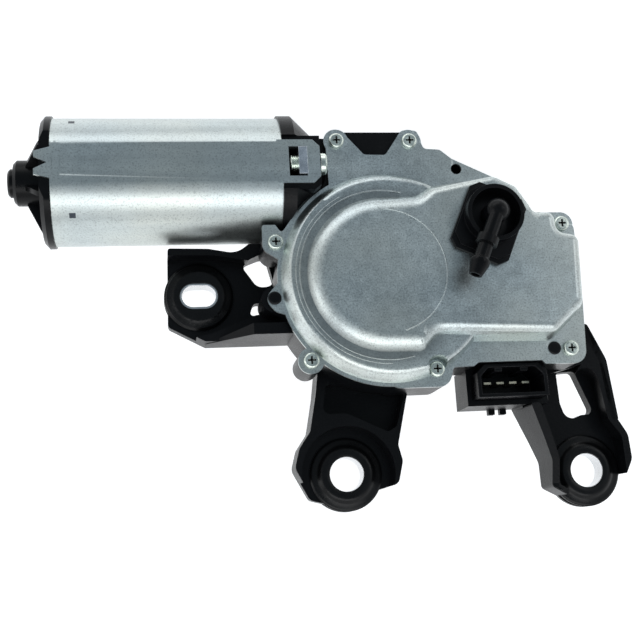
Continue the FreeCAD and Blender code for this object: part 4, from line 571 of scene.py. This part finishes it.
def thread(work, place, way, crest, depth, pitch, turns, steps=20):
    """Helical ridge round an axis, from a place along the given way; sizes in metres."""
    way = Vector(way)
    side = way.orthogonal().normalized()
    root = crest - depth * 1.1
    spots = [(root, 0.0), (crest, pitch * 0.4), (crest, pitch * 0.6), (root, pitch)]
    verts = [work.verts.new(Vector(place) + side * radius + way * along) for radius, along in spots]
    edges = [work.edges.new(pair) for pair in zip(verts, verts[1:])]
    bmesh.ops.spin(work, geom=verts + edges, cent=place, axis=way, dvec=way * (pitch / steps),
                   angle=2 * math.pi * turns, steps=steps * turns, use_merge=False, use_duplicate=False)


def swept(work, sides, thick, spot, centre, axis, rise, angle, steps):
    """Round section of so many sides at a spot, swept about an axis; sizes in metres."""
    made = bmesh.ops.create_circle(work, segments=sides, radius=thick, cap_ends=True, matrix=spot)
    parts = made["verts"] + linked(made["verts"], "link_edges") + linked(made["verts"], "link_faces")
    bmesh.ops.spin(work, geom=parts, cent=centre, axis=axis, dvec=Vector(axis) * rise, angle=angle,
                   steps=steps, use_merge=False, use_duplicate=False)


def coil(work, place, way, radius, wire, turns, reach, steps=16):
    """Round wire wound about an axis; sizes in metres."""
    way = Vector(way)
    side = way.orthogonal().normalized()
    turn = Matrix((side, way, way.cross(side))).transposed().to_4x4()
    spot = Matrix.Translation(Vector(place) + side * radius) @ turn
    swept(work, 8, wire, spot, place, way, reach / (turns * steps), 2 * math.pi * turns, turns * steps)


def arc(work, centre, radius, level, bead, first, angle, steps, phase=0.0):
    """Round bead along part of a level circle; angles in degrees, sizes in metres."""
    spot = (Matrix.Translation((*centre, level)) @ Matrix.Rotation(math.radians(first), 4, "Z")
            @ Matrix.Translation((radius, 0.0, 0.0)) @ Matrix.Rotation(math.radians(90.0), 4, "X")
            @ Matrix.Rotation(math.radians(phase), 4, "Z"))
    swept(work, 10, bead, spot, (*centre, 0.0), (0.0, 0.0, 1.0), 0.0, math.radians(angle), steps)


def soften_dome(work):
    """Widen the dome's rounded shoulder inward on both faces of the sheet, and level the marked disc."""
    marked = [f for f in work.faces if f.calc_center_median().z > PLATEAU_TOP - 0.6 * MM
              and (f.calc_center_median().xy - Vector(DISC_CENTRE)).length < DISC_RADIUS + 0.45 * MM
              and f.normal.z > -0.5]
    bmesh.ops.delete(work, geom=marked, context="FACES")
    bmesh.ops.holes_fill(work, edges=[e for e in work.edges if e.is_boundary], sides=0)
    bmesh.ops.delete(work, geom=[v for v in work.verts if not v.link_faces], context="VERTS")
    bmesh.ops.dissolve_limit(work, angle_limit=FLAT_WITHIN, verts=work.verts, edges=work.edges)
    work.normal_update()
    spare = [v for v in work.verts if v.co.z > PLATEAU_TOP - 2.0 * MM and abs(v.normal.z) > 0.9995
             and math.hypot(v.co.x - DOME_CENTRE[0], v.co.y - DOME_CENTRE[1]) < DOME_TOP_RADIUS]
    bmesh.ops.dissolve_verts(work, verts=spare)
    work.normal_update()
    sizes = forms()
    rise = PLATEAU_TOP - FLANGE_TOP
    moves = []
    for vert in work.verts:
        x, y = vert.co.x, vert.co.y
        level = (vert.co.z - FLANGE_TOP) / rise
        flat = Vector((vert.normal.x, vert.normal.y))
        at_inlet = math.hypot(x, y) < INLET_REACH
        at_corner = x > PLATEAU_CORNER[0] and y > PLATEAU_CORNER[1]
        if level < 0.05 or flat.length < 0.02 or at_inlet or at_corner:
            continue
        outward = flat.normalized() if vert.normal.z > 0.0 else -flat.normalized()
        if x < ROUND_PART_END:
            outward = Vector((min(x, DOME_CENTRE[0]) - DOME_CENTRE[0], y - DOME_CENTRE[1])).normalized()
        if vert.normal.z <= 0.0:
            level = level + COVER_SHEET / rise
        round_part = min(1.0, max(0.0, (-BLEND_SPAN - x) / BLEND_SPAN))
        reach = sizes.shoulder * round_part + sizes.far_shoulder * (1.0 - round_part)
        moves.append((vert, outward * (reach * min(1.0, level) ** 2.2)))
    for vert, shift in moves:
        vert.co.x -= shift.x
        vert.co.y -= shift.y


def trimmed_housing(work):
    """Open the arms' windows to their full width and square off the rear corner under the cover's ear."""
    window, moved = (-84.9, -10.4), (-84.2, -10.0)
    wider, taller = 1.35, 1.12
    corner_x, corner_y = -21.8, 30.5
    shift = 2.7
    for vert in work.verts:
        x, y, z = vert.co / MM
        if abs(x - window[0]) < 5.6 and -16.8 < y < -4.2 and z < 7.0:
            vert.co.x = (moved[0] + (x - window[0]) * wider) * MM
            vert.co.y = (moved[1] + (y - window[1]) * taller) * MM
        window_side = 37.0 - (y + 53.4) * 0.386
        if abs(x - window_side) < 2.6 and -73.6 < y < -53.0 and z < 9.0:
            vert.co.x += shift * MM
        if x > corner_x and y > corner_y:
            vert.co.x = corner_x * MM


def plain_rear(work):
    """Draw the can's rear end straight, without a bead."""
    for vert in work.verts:
        if vert.co.x > CAN_REAR:
            continue
        y, z = vert.co.y - MOTOR_AXIS[0], vert.co.z - MOTOR_AXIS[1]
        shrink = min(1.0, CAN_RADIUS / max(math.hypot(y, z), MM))
        vert.co.y = MOTOR_AXIS[0] + y * shrink
        vert.co.z = MOTOR_AXIS[1] + max(-CAN_FLAT, min(CAN_FLAT, z * shrink))


def wide_flange(work):
    """Bring the slotted grommet's flange to its full radius."""
    x0, y0 = FEET["left"]
    grow = forms().left_grommet / (12.0 * MM)
    for vert in work.verts:
        x, y = vert.co.x - x0, vert.co.y - y0
        if math.hypot(x, y) > 10.9 * MM:
            vert.co.x = x0 + x * grow
            vert.co.y = y0 + y * grow


class MOTOR_OT_sheet_metal(Operator):
    """Dress the pressed cover and the drawn can in galvanised steel"""
    bl_idname = "motor.sheet_metal"
    bl_label = "Cover and can"

    def execute(self, context):
        colours, edges = looks(context)
        cover = galvanised_sheet("Galvanised cover sheet", colours.galvanised)
        can = galvanised_sheet("Galvanised drawn can", colours.galvanised, streaks=(0.06, 1.0, 1.0),
                               scuffed=0.0, rough=(0.30, 0.38), spread=0.16)
        dressed_copy("cover_plate", edges.sheet, cover, "cover_dressed", soften_dome)
        dressed_copy("motor_can", edges.sheet, can, "can_dressed", plain_rear)
        work = bmesh.new()
        arc(work, DISC_CENTRE, DISC_RADIUS, PLATEAU_TOP - 0.06 * MM, 0.26 * MM, -75.0, 163.0, 80, 90.0)
        new_piece(work, "disc_line", cover)
        work = bmesh.new()
        for radius, bead, first, angle in CREASES:
            arc(work, DOME_CENTRE, radius * MM, SHELF_TOP - 0.05 * MM, bead * MM, first, angle, 90)
        new_piece(work, "dome_creases", cover)
        # Painted shade: four dark boxes lying flush on the can stand in for the shade inside the lanced
        # dents, which are not cut
        shade = grained("Lanced recess", colours.lance, 0.6, 0.4)
        work = bmesh.new()
        for angle in (48.0, -48.0, 132.0, 228.0):
            made = bmesh.ops.create_cube(work, size=1.0)
            bmesh.ops.scale(work, verts=made["verts"], vec=(2.4 * MM, 2.2 * MM, 0.5 * MM))
            bmesh.ops.translate(work, verts=made["verts"], vec=(-152.3 * MM, 0.0, 23.8 * MM))
            turn = Matrix.Rotation(math.radians(angle), 3, "X")
            bmesh.ops.rotate(work, verts=made["verts"], cent=(0.0, 0.0, 0.0), matrix=turn)
            bmesh.ops.translate(work, verts=made["verts"], vec=(0.0, *MOTOR_AXIS))
        rounded(work, work.edges[:], 0.12 * MM, 1)
        new_piece(work, "can_lances", shade)
        return {"FINISHED"}


class MOTOR_OT_casting(Operator):
    """Dress the gear housing as a dark coated casting"""
    bl_idname = "motor.casting"
    bl_label = "Gear housing"

    def execute(self, context):
        colours, edges = looks(context)
        cast = grained("Coated casting", colours.cast, 0.0, 0.34, fine=1300.0, coarse=45.0,
                       spread=0.3, relief=0.03 * MM, rough_swing=0.08, worn=(0.03, 0.033, 0.038), wear=0.5,
                       shine=0.16)
        dressed_copy("gear_housing", edges.casting, cast, "housing_dressed", trimmed_housing)
        foot, top = 1.2, forms().rib_top / MM
        work = bmesh.new()
        slab(work, ((14.4, -67.5), (20.1, -80.6), (23.3, -88.6), (23.5, -98.4), (30.0, -102.0),
                    (30.6, -100.0), (26.4, -97.6), (26.2, -88.2), (23.0, -79.4), (18.2, -67.5)),
             foot, top, 1.0)
        sloped(work, (-63.0, top), (-103.0, 12.0), "y")
        new_piece(work, "right_arm_rib", cast)
        work = bmesh.new()
        slab(work, ((44.0, -35.6), (50.6, -50.4), (52.9, -74.6), (50.0, -74.2), (47.6, -50.6), (40.6, -37.0)),
             foot, 14.0, 1.2)
        new_piece(work, "right_arm_wall", cast)
        work = bmesh.new()
        slab(work, ((-105.7, -38.6), (-73.0, -38.6), (-73.0, -34.4), (-88.6, -34.4)), foot, top, 0.4)
        sloped(work, (-88.4, top), (-105.6, 9.0), "x")
        new_piece(work, "left_arm_rib", cast)
        work = bmesh.new()
        for x in (4.8, 9.4):
            left, right = x - 1.3, x + 1.3
            slab(work, ((left, -69.4), (right, -69.4), (right, -66.0), (left, -66.0)), 3.2, 5.6, 0.4)
        new_piece(work, "bay_hooks", cast)
        return {"FINISHED"}


class MOTOR_OT_mouldings(Operator):
    """Dress the plastic end cap, inlet, socket and plugs"""
    bl_idname = "motor.mouldings"
    bl_label = "Plastic mouldings"

    def execute(self, context):
        colours, edges = looks(context)
        plastic = grained("Black moulding", colours.plastic, 0.0, 0.3, fine=1800.0, coarse=80.0,
                          spread=0.25, relief=0.012 * MM, worn=(0.02, 0.021, 0.024), wear=0.6, shine=0.16)
        for node in ("inlet_flange", "inlet_elbow", "connector_shroud", "locating_plugs"):
            dressed_copy(node, edges.moulding, plastic)
        self.end_cap(plastic)
        self.inlet_plate(plastic)
        paint_nodes(["water_tube", "brush_holder"], plastic)
        return {"FINISHED"}

    def inlet_plate(self, plastic):
        """Flat plate with cut corners below the washer inlet's cup."""
        along = Vector((math.cos(math.radians(-114.0)), math.sin(math.radians(-114.0))))
        across = Vector((-along.y, along.x))
        half, side, cut, shift = 13.7, 11.5, 3.0, 2.6
        corners = [tuple(along * (u + shift) + across * v) for u, v in (
            (half - cut, side), (-half + cut, side), (-half, side - cut), (-half, -side + cut),
            (-half + cut, -side), (half - cut, -side), (half, -side + cut), (half, side - cut))]
        work = bmesh.new()
        level = PLATEAU_TOP / MM
        slab(work, corners, level + 0.05, level + 2.0)
        rim = [e for e in work.edges if min(v.co.z for v in e.verts) > (level + 1.9) * MM]
        rounded(work, rim, 0.3 * MM, 2)
        new_piece(work, "inlet_plate", plastic)

    def end_cap(self, plastic):
        """Cap with a stepped bearing boss, six ribs and flats under the can's tabs."""
        boss, nose = forms().boss / MM, forms().nose / MM
        face, tip = -163.6, -176.6
        work = bmesh.new()
        spun(work, ((3.0, tip), (nose - 0.8, tip), (nose, tip + 0.8), (nose, tip + 2.2),
                    (boss - 1.2, tip + 2.2), (boss, tip + 3.4), (boss, face), (23.0, face),
                    (24.8, face + 1.6), (24.8, -159.8), (22.2, -159.8), (22.2, -157.0), (20.0, -157.0),
                    (20.0, -160.4), (6.3, -160.4), (6.3, -173.4), (3.0, -173.4)), MOTOR_AXIS, "X", 96)
        for side in (-1.0, 1.0):
            level = MOTOR_AXIS[1] + side * 21.3 * MM
            clipped(work, (0.0, 0.0, level), (0.0, 0.0, side))
        new_piece(work, "end_cap_dressed", plastic, "end_cap")
        work = bmesh.new()
        for index in range(6):
            corners = [(face + 0.2, boss - 1.0), (face + 0.2, 19.6), (face - 1.0, 19.0),
                       (face - 6.0, boss + 0.4), (face - 6.0, boss - 1.0)]
            verts = [work.verts.new((x * MM, -0.9 * MM, z * MM)) for x, z in corners]
            made = bmesh.ops.extrude_face_region(work, geom=[work.faces.new(verts)])
            moved = [v for v in made["geom"] if isinstance(v, bmesh.types.BMVert)]
            bmesh.ops.translate(work, verts=moved, vec=(0.0, 1.8 * MM, 0.0))
            turn = Matrix.Rotation(math.radians((index + 0.5) * 60.0), 3, "X")
            bmesh.ops.rotate(work, verts=verts + moved, cent=(0.0, 0.0, 0.0), matrix=turn)
            bmesh.ops.translate(work, verts=verts + moved, vec=(0.0, *MOTOR_AXIS))
        new_piece(work, "end_cap_ribs", plastic)


class MOTOR_OT_rubber(Operator):
    """Dress the grommets, the gasket, the ring and the tower seal in rubber"""
    bl_idname = "motor.rubber"
    bl_label = "Rubber parts"

    def execute(self, context):
        colours, edges = looks(context)
        rubber = grained("Black rubber", colours.rubber, 0.0, 0.3, fine=700.0, coarse=90.0,
                         spread=0.3, relief=0.02 * MM, worn=(0.02, 0.02, 0.022), wear=0.4, shine=0.25)
        outer = forms().grommet / MM
        for foot in ("centre", "right"):
            work = bmesh.new()
            spun(work, ((10.2, 3.05), (outer, 3.05), (outer, 1.2), (outer - 1.2, 0.0), (7.45, 0.0),
                        (7.45, 8.55), (6.5, 8.55), (6.5, 8.9), (6.7, 9.05), (9.0, 9.05), (10.0, 8.7),
                        (10.6, 8.0), (11.4, 7.5), (12.8, 7.2), (13.4, 7.0), (outer, 6.6), (outer, 6.05),
                        (10.2, 6.05)), FEET[foot])
            new_piece(work, foot + "_grommet_dressed", rubber, foot + "_grommet")
        dressed_copy("left_grommet", edges.moulding, rubber, reshape=wide_flange)
        dressed_copy("tower_seal", edges.moulding, rubber)
        paint_nodes(["cover_gasket", "inlet_ring"], rubber)
        return {"FINISHED"}


class MOTOR_OT_fasteners(Operator):
    """Dress screws, nuts and foot sleeves"""
    bl_idname = "motor.fasteners"
    bl_label = "Screws, nuts and sleeves"

    def execute(self, context):
        colours, edges = looks(context)
        zinc = grained("Zinc plating", colours.zinc, 1.0, 0.27, fine=1500.0, coarse=320.0,
                       spread=0.35, relief=0.01 * MM, worn=(0.75, 0.76, 0.74), wear=0.6)
        bright = grained("Bright sleeve steel", colours.bright, 1.0, 0.2, fine=1200.0, coarse=150.0,
                         spread=0.12, relief=0.006 * MM, worn=(0.85, 0.85, 0.86), wear=0.7)
        nut = grained("Plated nut", colours.nut, 1.0, 0.26, fine=1500.0, coarse=260.0, spread=0.2,
                      relief=0.008 * MM, worn=(0.8, 0.82, 0.86), wear=0.6)
        for node, finish in (("cover_screws", zinc), ("can_nuts", nut), ("can_screws", zinc)):
            dressed_copy(node, edges.small, finish)
        # Painted shade: near-black crosses laid in the cross recesses to darken them
        shade = grained("Recess shade", colours.recess, 0.0, 0.5, shine=0.2)
        work = bmesh.new()
        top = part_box("cover_screws")[1][2] / MM
        for x, y in SCREWS:
            for along, across in ((1.7, 0.42), (0.42, 1.7)):
                slab(work, ((x - along, y - across), (x + along, y - across), (x + along, y + across),
                            (x - along, y + across)), top - 0.95, top - 0.55)
        new_piece(work, "screw_recess_floor", shade)
        for node in ("centre_sleeve", "right_sleeve", "left_sleeve"):
            dressed_copy(node, edges.small * 2, bright)
        low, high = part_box("can_screws")
        thick = min(high[1] - low[1], 6.0 * MM) / 2
        work = bmesh.new()
        for level in (low[2] + thick, high[2] - thick):
            thread(work, (low[0] - 0.4 * MM, MOTOR_AXIS[0], level), (1.0, 0.0, 0.0), thick + 0.25 * MM,
                   0.35 * MM, forms().fine_pitch, 8)
        new_piece(work, "can_screw_threads", zinc)
        return {"FINISHED"}


# Title, colour, metal, roughness, grain and the nodes that have it
DRIVE_FINISHES = (
    ("Stamped steel", "turned", 1.0, 0.4, {"fine": 1100.0, "coarse": 120.0, "spread": 0.22,
                                           "relief": 0.012 * MM},
     ("armature_core", "drive_rod", "link_plate", "output_pinion", "shaft_clip", "shaft_circlip",
      "axle_clip")),
    ("Copper", "copper", 1.0, 0.3, {"fine": 1600.0, "coarse": 300.0, "spread": 0.25},
     ("armature_windings", "commutator")),
    ("Sintered bronze", "bronze", 1.0, 0.42, {"fine": 2400.0, "coarse": 260.0, "spread": 0.3},
     ("rear_bearing", "front_bearing", "end_bush", "shaft_bushes")),
    ("Gear plastic", "gear", 0.0, 0.42, {"fine": 1500.0, "coarse": 50.0, "spread": 0.08}, ("worm_wheel",)),
    ("Laminate board", "board", 0.0, 0.5, {"fine": 900.0, "coarse": 70.0, "spread": 0.2},
     ("contact_plate",)),
    ("Ferrite", "ferrite", 0.0, 0.6, {"fine": 2600.0, "coarse": 90.0, "spread": 0.3}, ("field_magnets",)),
    ("Carbon", "carbon", 0.1, 0.45, {"fine": 2600.0, "coarse": 200.0, "spread": 0.3}, ("brushes",)),
    ("Tinned contact", "tin", 1.0, 0.3, {"fine": 1800.0, "coarse": 400.0, "spread": 0.2},
     ("connector_pins",)),
)


class MOTOR_OT_drive(Operator):
    """Give the armature, gears, linkage and shaft their metals and plastics"""
    bl_idname = "motor.drive"
    bl_label = "Drive train"

    def execute(self, context):
        colours = context.scene.motor_colours
        turned = grained("Turned steel", colours.turned, 1.0, 0.28, fine=2200.0, coarse=90.0,
                         spread=0.12, relief=0.006 * MM)
        paint_nodes(["armature_shaft", "wheel_axle", "crank_pin", "sector_pin", "thrust_pad",
                     "thrust_washer"], turned)
        self.output_shaft(turned)
        self.springs(turned)
        for title, tone, metallic, rough, grain, nodes in DRIVE_FINISHES:
            paint_nodes(nodes, grained(title, getattr(colours, tone), metallic, rough, **grain))
        return {"FINISHED"}

    def output_shaft(self, turned):
        """Hollow shaft with its serrated cone and the threaded stud for the wiper arm."""
        foot, head = SHAFT_LOW[2] / MM, SHAFT_HIGH[2] / MM
        work = bmesh.new()
        spun(work, ((2.0, foot), (3.1, foot), (3.5, foot + 0.6), (3.5, foot + 12.0), (4.7, foot + 12.0),
                    (5.3, foot + 20.0), (5.3, 9.9), (6.0, 9.9), (6.0, 24.7), (5.0, 24.7), (5.0, head - 0.4),
                    (4.7, head), (2.0, head)), (0.0, 0.0))
        thread(work, (0.0, 0.0, SHAFT_LOW[2] + 0.5 * MM), (0.0, 0.0, 1.0), 4.0 * MM, 0.5 * MM,
               forms().pitch, 8)
        for index in range(FLUTES):
            corners = ((4.6, -0.16, foot + 12.2), (4.6, 0.16, foot + 12.2), (5.2, 0.16, foot + 19.6),
                       (5.2, -0.16, foot + 19.6))
            base = [work.verts.new(Vector(c) * MM) for c in corners]
            ridge = [work.verts.new(Vector((x, 0.0, foot + z)) * MM)
                     for x, z in ((4.98, 12.3), (5.48, 19.4))]
            for face in ((base[0], base[3], ridge[1], ridge[0]), (base[1], ridge[0], ridge[1], base[2]),
                         (base[0], ridge[0], base[1]), (base[2], ridge[1], base[3]), tuple(base)):
                work.faces.new(face)
            turn = Matrix.Rotation(index * 2 * math.pi / FLUTES, 3, "Z")
            bmesh.ops.rotate(work, verts=base + ridge, cent=(0.0, 0.0, 0.0), matrix=turn)
        new_piece(work, "output_shaft_dressed", turned, "output_shaft", "output")

    def springs(self, turned):
        """Two coil springs behind the brushes."""
        low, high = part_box("brush_springs")
        radius = (high[0] - low[0]) / 2
        middle = (low[0] + high[0]) / 2
        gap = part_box("brushes")
        work = bmesh.new()
        for near, far in ((gap[0][1], low[1]), (gap[1][1], high[1])):
            way = 1.0 if far > near else -1.0
            coil(work, (middle, near, MOTOR_AXIS[1]), (0.0, way, 0.0), radius - 0.3 * MM, 0.3 * MM, 4,
                 abs(far - near) - 0.4 * MM)
        new_piece(work, "brush_springs_dressed", turned, "brush_springs")


# Name, place, size and share of the main lamp's power
LAMPS = (("front_lamp", (-0.10, -0.62, 0.55), (0.9, 0.34), 1.0),
         ("back_lamp", (-0.25, 0.75, 0.42), (0.9, 0.3), 0.6),
         ("right_lamp", (0.62, 0.22, 0.75), (0.4, 0.4), 0.3),
         ("left_lamp", (-0.80, -0.20, 0.40), (0.4, 0.5), 0.35))
LAMPS_AIM = (-0.06, -0.03, 0.0)
# The camera's right, up and backward ways
CAMERA_AXES = ((0.98778403, -0.05865435, 0.14436892), (0.02729052, 0.97725265, 0.21031521),
               (-0.15342081, -0.2038061, 0.96691526))


def stage_material(name, tone, level):
    """Pale surface, bright to the camera and to mirror-like faces, and clear from below."""
    material = bpy.data.materials.new(name)
    tree, end = cleared(material, "ShaderNodeOutputMaterial")
    matt = add_node(tree, "ShaderNodeBsdfDiffuse", {"Color": tone}).outputs["BSDF"]
    glow = add_node(tree, "ShaderNodeEmission", {"Color": tone, "Strength": level}).outputs["Emission"]
    both = add_node(tree, "ShaderNodeAddShader", {0: matt, 1: glow}).outputs["Shader"]
    path = tree.nodes.new("ShaderNodeLightPath")
    seen = arithmetic(tree, "MAXIMUM", path.outputs["Is Camera Ray"],
                      arithmetic(tree, "MAXIMUM", path.outputs["Is Glossy Ray"],
                                 path.outputs["Is Transmission Ray"]))
    below = tree.nodes.new("ShaderNodeNewGeometry").outputs["Backfacing"]
    clear = tree.nodes.new("ShaderNodeBsdfTransparent").outputs["BSDF"]
    shown = matt
    for factor, other in ((seen, both), (below, clear)):
        shown = add_node(tree, "ShaderNodeMixShader", {0: factor, 1: shown, 2: other}).outputs["Shader"]
    tree.links.new(shown, end.inputs["Surface"])
    return material


def add_lamp(name, place, target, size, power):
    """Soft square lamp aimed at a point."""
    light = bpy.data.lights.new(name, "AREA")
    light.shape = "RECTANGLE"
    light.size = size[0]
    light.size_y = size[1]
    light.energy = power
    lamp = placed(name, light)
    lamp.location = place
    lamp.rotation_euler = (Vector(target) - Vector(place)).to_track_quat("-Z", "Y").to_euler()


class MOTOR_OT_stage(Operator):
    """Add the floor, the lamps, the world and the camera"""
    bl_idname = "motor.stage"
    bl_label = "Floor, light and camera"

    def execute(self, context):
        scene = context.scene
        view = scene.motor_view
        work = bmesh.new()
        bmesh.ops.create_grid(work, x_segments=1, y_segments=1, size=view.floor_size / 2)
        bmesh.ops.translate(work, verts=work.verts, vec=(0.0, 0.0, STAGE_LEVEL))
        mesh = bpy.data.meshes.new("floor")
        work.to_mesh(mesh)
        work.free()
        floor = placed("floor", mesh)
        mesh.materials.append(stage_material("Pale floor", (0.9, 0.9, 0.9), 0.62))

        world = bpy.data.worlds.new("Pale room")
        scene.world = world
        tree, end = cleared(world, "ShaderNodeOutputWorld")
        way = tree.nodes.new("ShaderNodeTexCoord").outputs["Generated"]
        parts = add_node(tree, "ShaderNodeSeparateXYZ", {"Vector": way})
        overhead = ramp(tree, parts.outputs["Z"], 0.30, 0.86)
        sky = blended(tree, overhead, (0.82, 0.84, 0.86), view.ceiling)
        back = add_node(tree, "ShaderNodeBackground", {"Color": sky})
        tree.links.new(back.outputs["Background"], end.inputs["Surface"])

        for name, place, size, share in LAMPS:
            add_lamp(name, place, LAMPS_AIM, size, view.lamp_power * share)

        lens = bpy.data.cameras.new("photo_camera")
        lens.sensor_width = 36.0
        lens.lens = view.lens
        lens.clip_start = 0.01
        camera = placed("photo_camera", lens)
        turn = Matrix(CAMERA_AXES).transposed().to_4x4()
        camera.matrix_world = Matrix.Translation(Vector(view.camera_place)) @ turn
        scene.camera = camera
        scene.view_settings.view_transform = "Standard"
        return {"FINISHED"}


STEPS = (MOTOR_OT_sheet_metal, MOTOR_OT_casting, MOTOR_OT_mouldings, MOTOR_OT_rubber, MOTOR_OT_fasteners,
         MOTOR_OT_drive, MOTOR_OT_stage)


class MOTOR_PT_dressing(Panel):
    """Steps and sizes of the motor's dressing"""
    bl_label = "Wiper motor"
    bl_space_type = "VIEW_3D"
    bl_region_type = "UI"
    bl_category = "Wiper motor"

    def draw(self, context):
        layout = self.layout
        for step in STEPS:
            layout.operator(step.bl_idname)
        for title, kind in GROUPS.items():
            box = layout.box()
            for name in kind.__annotations__:
                box.prop(getattr(context.scene, title), name)


GROUPS = {"motor_colours": FinishColours, "motor_edges": EdgeSizes, "motor_forms": FormSizes,
          "motor_view": ViewSetup}
CLASSES = tuple(GROUPS.values()) + STEPS + (MOTOR_PT_dressing,)


def register():
    """Register the classes and the scene's property groups."""
    for item in CLASSES:
        bpy.utils.register_class(item)
    for title, kind in GROUPS.items():
        setattr(bpy.types.Scene, title, PointerProperty(type=kind))


def unregister():
    """Remove the property groups and the classes."""
    for title in GROUPS:
        delattr(bpy.types.Scene, title)
    for item in reversed(CLASSES):
        bpy.utils.unregister_class(item)


def main():
    """Register the classes and run every step."""
    register()
    bpy.ops.motor.sheet_metal()
    bpy.ops.motor.casting()
    bpy.ops.motor.mouldings()
    bpy.ops.motor.rubber()
    bpy.ops.motor.fasteners()
    bpy.ops.motor.drive()
    bpy.ops.motor.stage()


if __name__ == "__main__":
    main()
